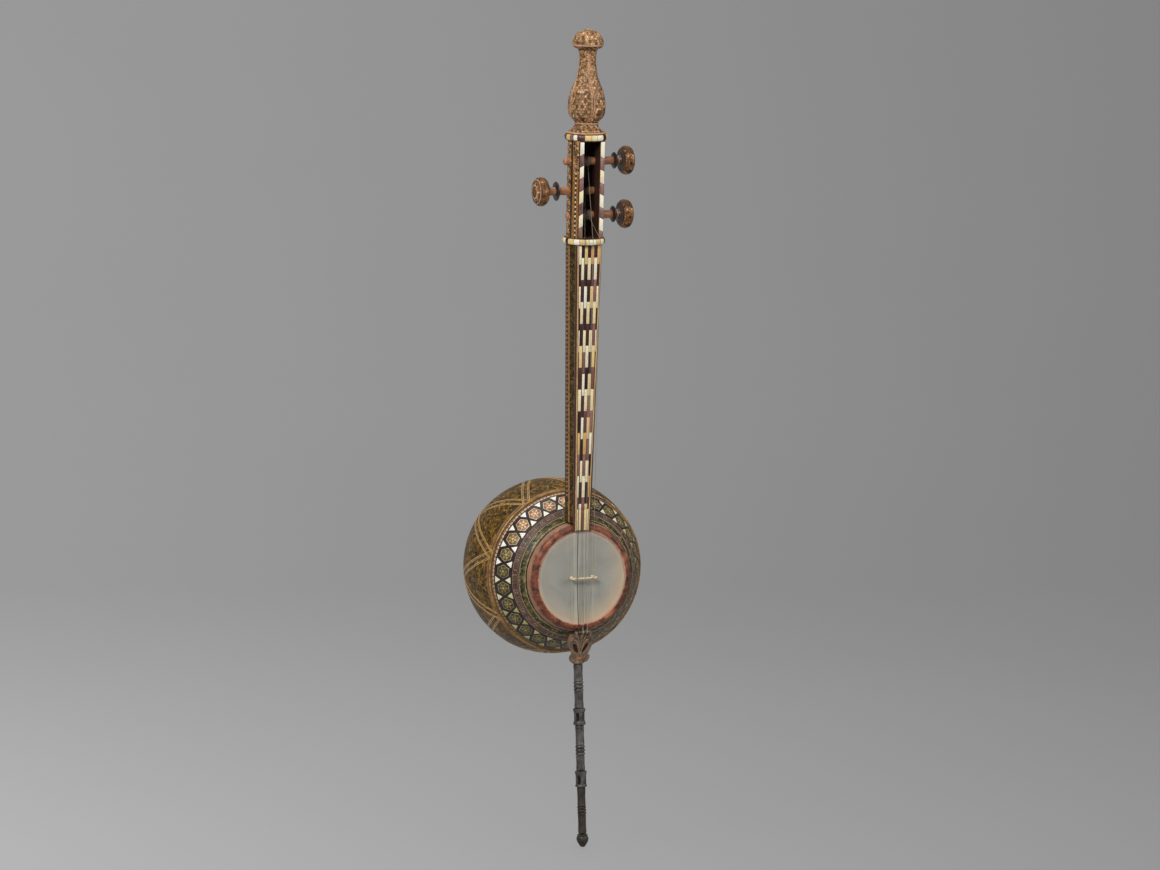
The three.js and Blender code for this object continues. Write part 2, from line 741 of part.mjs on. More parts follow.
const fiddle = new THREE.Group();
const neckGroup = new THREE.Group();
neckGroup.position.set(NECK.x, NECK.y, BOWL.z);
neckGroup.rotation.x = NECK.lean;
fiddle.add(neckGroup);
fiddle.updateMatrixWorld(true);
buildBowl(fiddle);
buildNeck(neckGroup);
buildFinial(neckGroup);
buildPegs(neckGroup);
buildStrings(fiddle, neckGroup);
buildTail(fiddle);
buildSpike(fiddle);
add(fiddle, "inner_dowel", innerDowel(), "walnut");

export default fiddle;
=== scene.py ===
"""Looks of a Persian spike fiddle: marquetry bowl, parchment belly, three pegs and an iron spike.

Lengths are millimetres until a piece's mesh is made, in metres, by piece().
"""

import json
import math
import random

import bmesh
import bpy
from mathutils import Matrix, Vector


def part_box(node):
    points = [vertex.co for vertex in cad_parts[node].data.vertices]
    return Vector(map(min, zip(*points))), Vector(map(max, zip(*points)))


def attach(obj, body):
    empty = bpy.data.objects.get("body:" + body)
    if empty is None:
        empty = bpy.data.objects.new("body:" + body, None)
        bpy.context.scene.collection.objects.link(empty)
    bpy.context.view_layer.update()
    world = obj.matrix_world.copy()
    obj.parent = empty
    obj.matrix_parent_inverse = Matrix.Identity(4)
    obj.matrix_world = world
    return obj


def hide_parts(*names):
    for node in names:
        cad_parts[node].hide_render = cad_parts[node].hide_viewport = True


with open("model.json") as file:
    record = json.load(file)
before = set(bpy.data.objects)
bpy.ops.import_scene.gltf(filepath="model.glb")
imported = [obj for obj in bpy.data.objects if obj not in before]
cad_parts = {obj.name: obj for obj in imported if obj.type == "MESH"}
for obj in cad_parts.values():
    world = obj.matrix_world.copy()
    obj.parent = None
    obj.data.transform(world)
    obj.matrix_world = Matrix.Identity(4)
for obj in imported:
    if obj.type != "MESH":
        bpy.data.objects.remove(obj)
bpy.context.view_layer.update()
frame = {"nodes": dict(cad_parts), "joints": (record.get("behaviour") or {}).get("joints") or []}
MM = 0.001
TAU = 2 * math.pi
rng = random.Random(5)


def rad(degrees):
    return math.radians(degrees)


def shares(count):
    """The angles that part a full turn into equal shares."""
    return [TAU * k / count for k in range(count)]


def lerp(a, b, t):
    return a + (b - a) * t


def clamp(x, low=0.0, high=1.0):
    return max(low, min(high, x))


# ---- where things are ----
class Axes:
    """A place and three directions. Called with a local point it gives the point in the row frame."""

    def __init__(self, origin, x, y, z):
        self.o = Vector(origin)
        self.x = Vector(x)
        self.y = Vector(y)
        self.z = Vector(z)

    def __call__(self, x, y, z):
        return self.o + self.x * x + self.y * y + self.z * z


def node_box(node):
    low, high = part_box(node)
    return low / MM, high / MM


def node_centre(node):
    low, high = node_box(node)
    return (low + high) / 2


JOINT_AT = {j["child"]: Vector(j["pos_m"]) / MM for j in frame["joints"]}
PEGS = [
    dict(at=457.1, side=1, tip=25.4, winding=0.0, collar=9.0, head=47.6),
    dict(at=425.2, side=-1, tip=18.4, winding=-2.4, collar=10.4, head=51.6),
    dict(at=398.9, side=1, tip=21.6, winding=2.4, collar=9.0, head=47.6),
]
up = (JOINT_AT["peg_1"] - JOINT_AT["peg_3"]).normalized()
NECK = Axes(JOINT_AT["peg_3"] - up * PEGS[2]["at"], (1, 0, 0), up.cross(Vector((1, 0, 0))), up)

rear_low, rear_high = node_box("rear_marquetry")
BOWL_RADIUS = (rear_high.x - rear_low.x) / 2
BOWL_CENTRE = Vector((0, rear_high.y - BOWL_RADIUS, (rear_low.z + rear_high.z) / 2))
# Angles run from the belly's centre; turns run from the top towards the viewer's left.
BOWL = Axes(BOWL_CENTRE, (0, 0, 1), (-1, 0, 0), (0, -1, 0))

rod_up = (node_centre("spike_cage_upper") - node_centre("spike_cage_lower")).normalized()
rod_up.x = 0
rod_up.normalize()
SPIKE = Axes((0, 0, 0), (1, 0, 0), rod_up.cross(Vector((1, 0, 0))), rod_up)


def on_bowl(angle, turn, radius):
    a = rad(angle)
    t = rad(turn)
    return BOWL(radius * math.sin(a) * math.cos(t), radius * math.sin(a) * math.sin(t),
                radius * math.cos(a))


# ---- meshes ----
class Shape:
    """Faces of one piece, each with its material, UVs and shade."""

    def __init__(self):
        self.points = []
        self.faces = []

    def face(self, corners, uvs, mat=0, shade=0.5):
        base = len(self.points)
        self.points.extend(corners)
        self.faces.append((list(range(base, base + len(corners))), uvs, mat, shade))

    def grid(self, rows, uv, mat=0, shade=0.5, wrap=True):
        """Quads between rows of points. uv(i, j) gives a corner's place in the pattern."""
        base = len(self.points)
        count = len(rows[0])
        for row in rows:
            self.points.extend(row)
        spans = count if wrap else count - 1
        for i in range(len(rows) - 1):
            for j in range(spans):
                k = (j + 1) % count
                corners = [base + i * count + j, base + i * count + k]
                corners += [base + (i + 1) * count + k, base + (i + 1) * count + j]
                places = [uv(i, j), uv(i, j + 1), uv(i + 1, j + 1), uv(i + 1, j)]
                kind = mat(i, j) if callable(mat) else mat
                tone = shade(i, j) if callable(shade) else shade
                self.faces.append((corners, places, kind, tone))

    def lathe(self, axes, profile, sides=64, around=60, mat=0, shade=0.5, close=False, radial=None):
        """Turns (radius, height) about the axes' Z. around cells of the pattern make a turn."""
        path = list(profile) + ([profile[0]] if close else [])
        rows = []
        for r, h in path:
            row = []
            for j in range(sides):
                t = TAU * j / sides
                rr = radial(r, h, t) if radial else r
                row.append(axes(rr * math.cos(t), rr * math.sin(t), h))
            rows.append(row)
        v = [0.0]
        for (r0, h0), (r1, h1) in zip(path, path[1:]):
            mean = max(1.0, (r0 + r1) / 2)
            v.append(v[-1] + math.hypot(r1 - r0, h1 - h0) / mean * around / TAU)
        self.grid(rows, lambda i, j: (around * j / sides, v[i]), mat, shade)

    def sweep(self, rings, uv_scale=0.4, mat=0, shade=0.5):
        """Joins closed cross-sections along a path, with both ends shut."""
        count = len(rings[0])
        run = [0.0]
        for a, b in zip(rings, rings[1:]):
            run.append(run[-1] + (b[0] - a[0]).length)
        girth = [0.0]
        for j in range(count):
            girth.append(girth[-1] + (rings[0][(j + 1) % count] - rings[0][j]).length)
        self.grid(rings, lambda i, j: (girth[j] * uv_scale, run[i] * uv_scale), mat, shade)
        for ring in (rings[0][::-1], rings[-1]):
            self.face(ring, [(0, 0)] * count, mat, shade)

    def tube(self, path, radius, sides=10, mat=0, shade=0.5, uv_scale=1.0):
        """A round cord through the points. radius is a number or one for each point."""
        rings = []
        side = None
        for i, p in enumerate(path):
            ahead = (path[min(i + 1, len(path) - 1)] - path[max(i - 1, 0)]).normalized()
            if side is None:
                side = ahead.orthogonal().normalized()
            side = (side - ahead * side.dot(ahead)).normalized()
            other = ahead.cross(side)
            r = radius[i] if isinstance(radius, list) else radius
            turns = [TAU * k / sides for k in range(sides)]
            rings.append([p + (side * math.cos(t) + other * math.sin(t)) * r for t in turns])
        self.sweep(rings, uv_scale, mat, shade)

    def tile(self, place, outline, base, top, chamfer=0.12, mat=0, shade=0.5, uv_scale=0.3):
        """A thin inlaid plate with eased edges. place(x, y, height) gives a point in the row frame."""
        n = len(outline)
        cx = sum(p[0] for p in outline) / n
        cy = sum(p[1] for p in outline) / n
        shift = (rng.random() * 40, rng.random() * 40)

        def inset(p, by):
            d = math.hypot(cx - p[0], cy - p[1])
            share = min(0.4, by / max(d, 1e-6))
            return (lerp(p[0], cx, share), lerp(p[1], cy, share))

        inner = [inset(p, chamfer * 1.3) for p in outline]
        rings = [
            [place(x, y, base) for x, y in outline],
            [place(x, y, top - chamfer * 0.6) for x, y in outline],
            [place(x, y, top) for x, y in inner],
        ]
        flat = [outline, outline, inner]

        def uv(i, j):
            x, y = flat[i][j % n]
            return ((x + shift[0]) * uv_scale, (y + shift[1]) * uv_scale)

        self.grid(rings, uv, mat, shade)
        middle = place(cx, cy, top)
        mid_uv = ((cx + shift[0]) * uv_scale, (cy + shift[1]) * uv_scale)
        for j in range(n):
            k = (j + 1) % n
            self.face([rings[2][j], rings[2][k], middle], [uv(2, j), uv(2, k), mid_uv], mat, shade)
        self.face(rings[0][::-1], [(0, 0)] * n, mat, shade)


def refine(profile, steps=4):
    """A smooth curve through the points of a profile."""
    out = []
    last = len(profile) - 1
    for i in range(last):
        p0 = profile[max(i - 1, 0)]
        p1 = profile[i]
        p2 = profile[i + 1]
        p3 = profile[min(i + 2, last)]
        for k in range(steps):
            t = k / steps
            point = []
            for a, b, c, d in zip(p0, p1, p2, p3):
                square = 2 * a - 5 * b + 4 * c - d
                cube = 3 * b - a - 3 * c + d
                point.append(0.5 * (2 * b + (c - a) * t + square * t**2 + cube * t**3))
            out.append(tuple(point))
    return out + [tuple(profile[-1])]


def put(name, data):
    """A new object in the scene."""
    obj = bpy.data.objects.new(name, data)
    bpy.context.scene.collection.objects.link(obj)
    return obj


def piece(name, shape, mats, body="root", replaces=(), smooth=40):
    """Makes the piece as an object, in metres, with its materials, ties it to its body and hides the CAD
    nodes it replaces.
    """
    mesh = bpy.data.meshes.new(name)
    mesh.from_pydata([p * MM for p in shape.points], [], [f[0] for f in shape.faces])
    layer = mesh.uv_layers.new(name="UVMap")
    layer.data.foreach_set("uv", [c for f in shape.faces for place in f[1] for c in place])
    shades = mesh.attributes.new("shade", "FLOAT", "FACE")
    shades.data.foreach_set("value", [f[3] for f in shape.faces])
    mesh.polygons.foreach_set("material_index", [f[2] for f in shape.faces])
    bm = bmesh.new()
    bm.from_mesh(mesh)
    bmesh.ops.remove_doubles(bm, verts=bm.verts, dist=2e-6)
    bmesh.ops.dissolve_degenerate(bm, edges=bm.edges, dist=2e-6)
    bmesh.ops.recalc_face_normals(bm, faces=bm.faces)
    bm.to_mesh(mesh)
    bm.free()
    mesh.shade_smooth()
    mesh.set_sharp_from_angle(angle=rad(smooth))
    for mat in mats:
        mesh.materials.append(mat)
    obj = put(name, mesh)
    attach(obj, body)
    if replaces:
        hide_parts(*replaces)
    return obj


# ---- materials ----
class Graph:
    """One node material under construction."""

    def __init__(self, name):
        self.mat = bpy.data.materials.new(name)
        self.mat.use_nodes = True
        self.tree = self.mat.node_tree
        self.tree.nodes.clear()
        self.shader = self.node("ShaderNodeBsdfPrincipled")
        out = self.node("ShaderNodeOutputMaterial")
        self.tree.links.new(self.shader.outputs[0], out.inputs[0])
        coords = self.node("ShaderNodeTexCoord")
        self.uv = coords.outputs["UV"]
        self.here = coords.outputs["Object"]

    def feed(self, socket, value):
        if isinstance(value, bpy.types.NodeSocket):
            self.tree.links.new(value, socket)
        elif value is not None:
            if socket.type == "RGBA" and len(value) == 3:
                value = (*value, 1.0)
            socket.default_value = value

    def node(self, kind, inputs=None, **settings):
        made = self.tree.nodes.new(kind)
        for key, value in settings.items():
            setattr(made, key, value)
        for key, value in (inputs or {}).items():
            self.feed(made.inputs[key], value)
        return made

    def math(self, op, a, b=None, c=None):
        return self.node("ShaderNodeMath", {0: a, 1: b, 2: c}, operation=op).outputs[0]

    def vec(self, op, a, b=None, c=None):
        made = self.node("ShaderNodeVectorMath", {0: a, 1: b, 2: c}, operation=op)
        return made.outputs["Value" if op in ("LENGTH", "DOT_PRODUCT", "DISTANCE") else "Vector"]

    def mix(self, factor, a, b, blend="MIX"):
        made = self.node("ShaderNodeMix", {0: factor, 6: a, 7: b}, data_type="RGBA", blend_type=blend)
        return made.outputs[2]

    def ramp(self, factor, stops, kind="LINEAR"):
        made = self.node("ShaderNodeValToRGB", {0: factor})
        made.color_ramp.interpolation = kind
        marks = made.color_ramp.elements
        while len(marks) < len(stops):
            marks.new(0.5)
        for mark, (place, colour) in zip(marks, stops):
            mark.position = place
            mark.color = (*colour, 1.0)
        return made.outputs[0]

    def level(self, factor, low, high, at=(0.0, 1.0)):
        """Maps a stretch of a number onto low to high, held at both ends."""
        made = self.node("ShaderNodeMapRange", {0: factor, 1: at[0], 2: at[1], 3: low, 4: high})
        return made.outputs[0]

    def noise(self, place, scale, detail=3.0, rough=0.55, warp=0.0):
        made = self.node("ShaderNodeTexNoise", {"Vector": place, "Scale": scale, "Detail": detail})
        made.inputs["Roughness"].default_value = rough
        made.inputs["Distortion"].default_value = warp
        return made.outputs[0]

    def cells(self, place, scale, feature="F1"):
        return self.node("ShaderNodeTexVoronoi", {"Vector": place, "Scale": scale}, feature=feature)

    def stretch(self, place, by):
        return self.vec("MULTIPLY", place, by)

    def grey(self, tone):
        return self.node("ShaderNodeCombineColor", {0: tone, 1: tone, 2: tone}).outputs[0]

    def gloss(self, scale, rough, less, more):
        """Roughness that wanders about its middle value."""
        return self.level(self.noise(self.here, scale, 3.0), rough - less, rough + more, (0.3, 0.7))

    def darken(self, colour, tone):
        return self.mix(1.0, colour, self.grey(tone), "MULTIPLY")

    def weigh(self, a, much, b, more):
        return self.math("ADD", self.math("MULTIPLY", a, much), self.math("MULTIPLY", b, more))

    def shade(self):
        return self.node("ShaderNodeAttribute", attribute_name="shade").outputs["Fac"]

    def bump(self, height, distance, strength):
        values = {"Height": height, "Distance": distance, "Strength": strength}
        return self.node("ShaderNodeBump", values).outputs[0]

    def done(self, colour, rough, normal=None, **fixed):
        self.feed(self.shader.inputs["Base Color"], colour)
        self.feed(self.shader.inputs["Roughness"], rough)
        self.feed(self.shader.inputs["Normal"], normal)
        for key, value in fixed.items():
            self.shader.inputs[key.replace("_", " ")].default_value = value
        return self.mat


HEX_ROW = 0.8660254  # the sine of 60 degrees


def hexagons(g):
    """Cells one unit apart in UV: the place in a cell, its reach to the edge and the cell's two numbers."""
    half = (0.5, HEX_ROW, 0.5)
    minus = (-0.5, -HEX_ROW, -0.5)
    first = g.vec("WRAP", g.uv, half, minus)
    second = g.vec("WRAP", g.vec("ADD", g.uv, half), half, minus)
    nearer = g.math("LESS_THAN", g.vec("DOT_PRODUCT", second, second), g.vec("DOT_PRODUCT", first, first))
    place = g.node("ShaderNodeMix", {0: nearer, 4: first, 5: second}, data_type="VECTOR").outputs[1]
    apart = g.node("ShaderNodeSeparateXYZ", {0: g.vec("ABSOLUTE", place)})
    x = apart.outputs[0]
    slant = g.math("ADD", g.math("MULTIPLY", x, 0.5), g.math("MULTIPLY", apart.outputs[1], HEX_ROW))
    edge = g.math("MAXIMUM", x, slant)
    corner = g.vec("SNAP", g.vec("ADD", g.vec("SUBTRACT", g.uv, place), (0.1, 0.1, 0.1)),
                   (0.25, 0.25, 0.25))
    own = g.node("ShaderNodeTexWhiteNoise", {"Vector": corner})
    second = g.node("ShaderNodeSeparateColor", {0: own.outputs["Color"]}).outputs[1]
    return place, edge, own.outputs["Value"], second


def khatam(name, gain, tones, pale, line, patches, rough=0.46, patch_scale=75.0, patch_share=0.35):
    """Micro-mosaic of six-pointed stars, each in its own tone, with pale points and wire lines."""
    g = Graph(name)

    def toned(colour):
        return tuple(c * k for c, k in zip(colour, gain))

    place, edge, number, glow = hexagons(g)
    reach = g.vec("LENGTH", place)
    apart = g.node("ShaderNodeSeparateXYZ", {0: place})
    turn = g.math("ARCTAN2", apart.outputs[1], apart.outputs[0])
    wave = g.math("COSINE", g.math("MULTIPLY", turn, 6.0))
    star_edge = g.math("MULTIPLY_ADD", wave, 0.075, 0.29)
    star = g.level(g.math("SUBTRACT", star_edge, reach), 0.0, 1.0, (-0.015, 0.015))
    own = g.ramp(number, [(i / len(tones), toned(tone)) for i, tone in enumerate(tones)], "CONSTANT")
    big = g.noise(g.here, patch_scale, 2.0, 0.6)
    last = len(patches) - 1
    patch = g.ramp(big, [(0.36 + 0.26 * i / last, toned(tone)) for i, tone in enumerate(patches)])
    own = g.mix(patch_share, own, patch)
    ground = g.mix(0.55, own, (0.012, 0.009, 0.006))
    points = g.level(g.math("SUBTRACT", g.math("MULTIPLY", wave, -1.0), 0.35), 0.0, 1.0, (0.0, 0.15))
    points = g.math("MULTIPLY", points, g.level(reach, 0.0, 1.0, (0.29, 0.32)))
    points = g.math("MULTIPLY", points, g.level(edge, 1.0, 0.0, (0.41, 0.44)))
    often = g.level(g.noise(g.here, patch_scale * 3.2, 2.0), 0.1, 0.95, (0.4, 0.62))
    colour = g.mix(g.math("MULTIPLY", points, often), ground, toned(pale))
    colour = g.mix(star, colour, own)
    ring = g.math("MULTIPLY", g.level(reach, 0.0, 1.0, (0.11, 0.13)),
                  g.level(reach, 1.0, 0.0, (0.16, 0.18)))
    colour = g.mix(g.math("MULTIPLY", ring, 0.7), colour, (0.012, 0.010, 0.007))
    dot = g.level(reach, 1.0, 0.0, (0.07, 0.10))
    colour = g.mix(g.math("MULTIPLY", dot, often), colour, toned(pale))
    wire = g.level(edge, 0.0, 1.0, (0.45, 0.475))
    colour = g.mix(wire, colour, toned(line))
    grime = g.level(g.noise(g.here, 190.0, 4.0, 0.65), 0.5, 1.35, (0.3, 0.72))
    grime = g.math("MULTIPLY", grime, g.level(glow, 0.32, 1.75))
    colour = g.darken(colour, grime)
    gloss = g.gloss(260.0, rough, 0.12, 0.16)
    height = g.weigh(wire, -0.7, g.noise(g.here, 420.0, 3.0), 0.8)
    return g.done(colour, gloss, g.bump(height, 0.00014, 0.8), Specular_IOR_Level=0.24, Coat_Weight=0.06,
                  Coat_Roughness=0.25)


def timber(name, dark, light, rough=0.45, grain=(30, 30, 3), coat=0.15, ring=900.0):
    """Wood with long fibres along Z and fine pores."""
    g = Graph(name)
    along = g.stretch(g.here, grain)
    broad = g.noise(along, 6.0, 4.0, 0.6, 0.6)
    fine = g.noise(g.stretch(g.here, (grain[0] * 6, grain[1] * 6, grain[2] * 6)), 9.0, 4.0, 0.7)
    colour = g.mix(g.level(broad, 0, 1, (0.3, 0.7)), dark, light)
    pores = g.level(fine, 0.55, 1.05, (0.3, 0.6))
    colour = g.darken(colour, pores)
    gloss = g.gloss(240.0, rough, 0.1, 0.15)
    height = g.weigh(fine, 0.6, g.noise(g.here, ring, 2.0), 0.3)
    return g.done(colour, gloss, g.bump(height, 0.00015, 0.6), Coat_Weight=coat, Coat_Roughness=0.3)


def bony(name, tones, rough=0.34, grain=(1.2, 0.12, 1.0), dirt=0.5):
    """Ivory or bone: each plate's tone goes by its shade, with fine lines along V and dirty pores."""
    g = Graph(name)
    own = g.ramp(g.shade(), [(i / (len(tones) - 1), tone) for i, tone in enumerate(tones)])
    lines = g.noise(g.stretch(g.uv, grain), 5.0, 4.0, 0.6, 0.3)
    colour = g.mix(g.level(lines, 0.0, 0.42, (0.42, 0.72)), own, (0.42, 0.25, 0.10))
    stain = g.level(g.noise(g.here, 330.0, 4.0, 0.7), 0.0, dirt, (0.55, 0.75))
    colour = g.mix(stain, colour, (0.20, 0.12, 0.06))
    gloss = g.gloss(300.0, rough, 0.08, 0.2)
    height = g.weigh(lines, 0.5, g.noise(g.here, 700.0, 3.0), 0.5)
    return g.done(colour, gloss, g.bump(height, 0.0001, 0.5), Subsurface_Weight=0.08,
                  Subsurface_Scale=0.001)


def metal(name, dark, light, rust, rust_share, rough=0.5, metallic=0.75, pit=0.0003):
    """Forged iron or worn brass, with hammer marks, scale and stains."""
    g = Graph(name)
    broad = g.noise(g.here, 110.0, 5.0, 0.6, 0.4)
    fine = g.noise(g.here, 620.0, 4.0, 0.7)
    colour = g.mix(g.level(broad, 0, 1, (0.32, 0.68)), dark, light)
    stain = g.level(g.math("ADD", g.noise(g.here, 210.0, 4.0, 0.7), g.math("MULTIPLY", fine, 0.25)), 0, 1,
                    (0.74 - rust_share * 0.35, 0.84 - rust_share * 0.2))
    colour = g.mix(stain, colour, rust)
    gloss = g.level(g.math("ADD", broad, g.math("MULTIPLY", stain, 0.5)), rough - 0.14, rough + 0.24,
                    (0.3, 1.0))
    g.feed(g.shader.inputs["Metallic"], g.level(stain, metallic, metallic * 0.25))
    height = g.math("ADD", g.math("MULTIPLY", broad, 1.2), fine)
    return g.done(colour, gloss, g.bump(height, pit, 0.7))


def inlaid(name, tones, rough=0.4, speckle=0.5):
    """Small coloured plates: tone by shade, with a fine speckle of paler and darker grains."""
    g = Graph(name)
    own = g.ramp(g.shade(), [(i / (len(tones) - 1), tone) for i, tone in enumerate(tones)])
    grains = g.cells(g.here, 900.0)
    light = g.node("ShaderNodeSeparateColor", {0: grains.outputs["Color"]}).outputs[0]
    tone = g.level(light, 1.0 - speckle, 1.0 + speckle)
    colour = g.darken(own, tone)
    gloss = g.gloss(280.0, rough, 0.1, 0.18)
    return g.done(colour, gloss, g.bump(g.noise(g.here, 600.0, 3.0), 0.0001, 0.6),
                  Specular_IOR_Level=0.35, Coat_Weight=0.12, Coat_Roughness=0.3)


def parchment():
    """Thin skin: cloudy grey-green, tan where it thins at the rim, with streaks of painted highlight and
    painted string shadow beside the strings.
    """
    g = Graph("parchment")
    cloud = g.noise(g.here, 42.0, 5.0, 0.6, 0.5)
    colour = g.mix(g.level(cloud, 0, 1, (0.3, 0.7)), (0.262, 0.260, 0.232), (0.335, 0.325, 0.285))
    apart = g.node("ShaderNodeSeparateXYZ", {0: g.vec("SUBTRACT", g.here, tuple(BOWL_CENTRE * MM))})
    x = apart.outputs[0]
    z = apart.outputs[2]
    reach = g.math("SQRT", g.math("ADD", g.math("MULTIPLY", x, x), g.math("MULTIPLY", z, z)))
    lower_right = g.math("SUBTRACT", g.math("MULTIPLY", x, 0.55), g.math("MULTIPLY", z, 0.84))
    warm = g.math("MULTIPLY", g.level(reach, 0.0, 1.0, (0.030, 0.052)),
                  g.level(lower_right, 0.15, 1.0, (-0.01, 0.045)))
    colour = g.mix(g.math("MULTIPLY", warm, 0.85), colour, (0.58, 0.42, 0.26))
    edge = g.level(reach, 0.0, 0.6, (0.0470, 0.0515))
    colour = g.mix(edge, colour, (0.62, 0.44, 0.31))
    # Beside the strings: paler streaks are painted highlight, darker streaks are painted string shadow.
    string_glints_and_shadows = g.noise(g.stretch(g.here, (1.0, 1.0, 0.02)), 260.0, 3.0, 0.6)
    near = g.level(g.math("ABSOLUTE", x), 1.0, 0.0, (0.004, 0.019))
    colour = g.mix(g.math("MULTIPLY", near, g.level(string_glints_and_shadows, 0.0, 0.75, (0.45, 0.66))), colour,
                   (0.52, 0.49, 0.39))
    colour = g.mix(g.math("MULTIPLY", near, g.level(string_glints_and_shadows, 0.5, 0.0, (0.30, 0.46))), colour,
                   (0.15, 0.16, 0.135))
    spots = g.level(g.noise(g.here, 520.0, 3.0, 0.8), 0.0, 0.35, (0.62, 0.8))
    colour = g.mix(spots, colour, (0.16, 0.13, 0.09))
    height = g.weigh(cloud, 1.2, g.noise(g.here, 900.0, 3.0), 0.35)
    gloss = g.level(cloud, 0.42, 0.62, (0.3, 0.7))
    return g.done(colour, gloss, g.bump(height, 0.0003, 0.5), Subsurface_Weight=0.12,
                  Subsurface_Scale=0.002)


def leather():
    """Red-brown goatskin, worn pale along its two cut edges."""
    g = Graph("leather")
    cloud = g.noise(g.here, 70.0, 5.0, 0.65, 0.8)
    colour = g.ramp(cloud, [(0.32, (0.018, 0.006, 0.004)), (0.43, (0.075, 0.020, 0.008)),
                            (0.55, (0.20, 0.052, 0.019)), (0.68, (0.42, 0.165, 0.085))])
    apart = g.node("ShaderNodeSeparateXYZ", {0: g.vec("SUBTRACT", g.here, tuple(BOWL_CENTRE * MM))})
    flat = g.node("ShaderNodeCombineXYZ", {0: apart.outputs[0], 1: apart.outputs[2]}).outputs[0]
    reach = g.vec("LENGTH", flat)
    ragged = g.math("MULTIPLY_ADD", g.noise(g.here, 160.0, 4.0, 0.7), 0.004, -0.002)
    reach = g.math("ADD", reach, ragged)
    inner = g.level(reach, 1.0, 0.0, (0.0512, 0.0530))
    outer = g.level(reach, 0.0, 1.0, (0.0588, 0.0602))
    colour = g.mix(g.math("MULTIPLY", inner, 0.95), colour, (0.62, 0.33, 0.23))
    colour = g.mix(g.math("MULTIPLY", outer, 0.7), colour, (0.40, 0.23, 0.15))
    scuff = g.level(g.noise(g.here, 480.0, 4.0, 0.7), 0.0, 0.5, (0.56, 0.75))
    colour = g.mix(scuff, colour, (0.42, 0.22, 0.14))
    pebble = g.cells(g.here, 1100.0).outputs["Distance"]
    height = g.weigh(pebble, 0.6, cloud, 1.6)
    gloss = g.level(cloud, 0.42, 0.66, (0.3, 0.7))
    return g.done(colour, gloss, g.bump(height, 0.0003, 0.7))


def cord_finish(name, dark, light, rough=0.45, metallic=0.0):
    g = Graph(name)
    twist = g.node("ShaderNodeTexWave", {"Vector": g.uv, "Scale": 1.1, "Distortion": 0.6},
                   bands_direction="DIAGONAL")
    tone = g.weigh(twist.outputs["Fac"], 0.6, g.noise(g.here, 160.0), 0.4)
    g.shader.inputs["Metallic"].default_value = metallic
    gloss = g.level(g.noise(g.here, 300.0), rough - 0.1, rough + 0.15, (0.3, 0.7))
    return g.done(g.mix(tone, dark, light), gloss, g.bump(tone, 0.0001, 0.6))


KHATAM_BOWL = khatam(
    "khatam_bowl", (1.02, 0.76, 0.27),
    [(0.030, 0.034, 0.014), (0.20, 0.125, 0.034), (0.012, 0.030, 0.012), (0.34, 0.20, 0.045),
     (0.095, 0.030, 0.014), (0.045, 0.085, 0.030), (0.24, 0.13, 0.05)],
    (0.50, 0.40, 0.20), (0.055, 0.035, 0.018),
    [(0.008, 0.020, 0.010), (0.060, 0.052, 0.016), (0.22, 0.125, 0.030), (0.36, 0.19, 0.045)],
    patch_scale=140.0, patch_share=0.38,
)
KHATAM_STRAP = khatam(
    "khatam_strap", (1.25, 1.0, 0.7),
    [(0.07, 0.045, 0.024), (0.20, 0.13, 0.04), (0.03, 0.035, 0.02), (0.32, 0.20, 0.06), (0.08, 0.03, 0.02)],
    (0.48, 0.36, 0.20), (0.03, 0.018, 0.012),
    [(0.03, 0.026, 0.018), (0.12, 0.08, 0.03), (0.22, 0.14, 0.045)],
)
KHATAM_GREEN = khatam(
    "khatam_green", (0.84, 0.82, 0.55),
    [(0.030, 0.050, 0.022), (0.14, 0.115, 0.04), (0.012, 0.028, 0.014), (0.26, 0.21, 0.09),
     (0.09, 0.035, 0.02)],
    (0.50, 0.44, 0.26), (0.035, 0.025, 0.015),
    [(0.012, 0.035, 0.018), (0.07, 0.070, 0.03), (0.19, 0.14, 0.06)],
)
KHATAM_NECK = khatam(
    "khatam_neck", (0.82, 0.72, 0.34),
    [(0.022, 0.034, 0.014), (0.10, 0.075, 0.024), (0.010, 0.022, 0.010), (0.16, 0.10, 0.03),
     (0.06, 0.022, 0.01)],
    (0.36, 0.28, 0.13), (0.022, 0.015, 0.009),
    [(0.010, 0.022, 0.010), (0.045, 0.040, 0.016), (0.10, 0.062, 0.022)],
)
KHATAM_FINIAL = khatam(
    "khatam_finial", (1.45, 1.2, 0.95),
    [(0.40, 0.24, 0.12), (0.18, 0.10, 0.05), (0.52, 0.33, 0.18), (0.07, 0.045, 0.028), (0.36, 0.17, 0.09),
     (0.20, 0.17, 0.07)],
    (0.74, 0.56, 0.36), (0.12, 0.065, 0.035),
    [(0.08, 0.05, 0.03), (0.28, 0.165, 0.085), (0.44, 0.27, 0.16)], patch_scale=95.0,
)
KHATAM_PEGBOX = khatam(
    "khatam_pegbox", (2.3, 1.8, 1.35),
    [(0.15, 0.10, 0.05), (0.26, 0.17, 0.08), (0.04, 0.036, 0.02), (0.38, 0.25, 0.12), (0.09, 0.045, 0.03)],
    (0.60, 0.46, 0.28), (0.05, 0.03, 0.018),
    [(0.05, 0.042, 0.022), (0.15, 0.10, 0.045), (0.28, 0.18, 0.085)], patch_scale=60.0,
)
KHATAM_KNOB = khatam(
    "khatam_knob", (1.15, 0.76, 0.46),
    [(0.14, 0.08, 0.04), (0.28, 0.17, 0.08), (0.04, 0.03, 0.02), (0.36, 0.22, 0.12), (0.09, 0.045, 0.03)],
    (0.62, 0.46, 0.28), (0.05, 0.028, 0.018),
    [(0.05, 0.035, 0.022), (0.15, 0.09, 0.045), (0.28, 0.17, 0.09)], patch_scale=150.0,
)
KNOB_DARK = timber("knob_dark", (0.022, 0.013, 0.009), (0.085, 0.05, 0.032), 0.45, grain=(12, 12, 12))
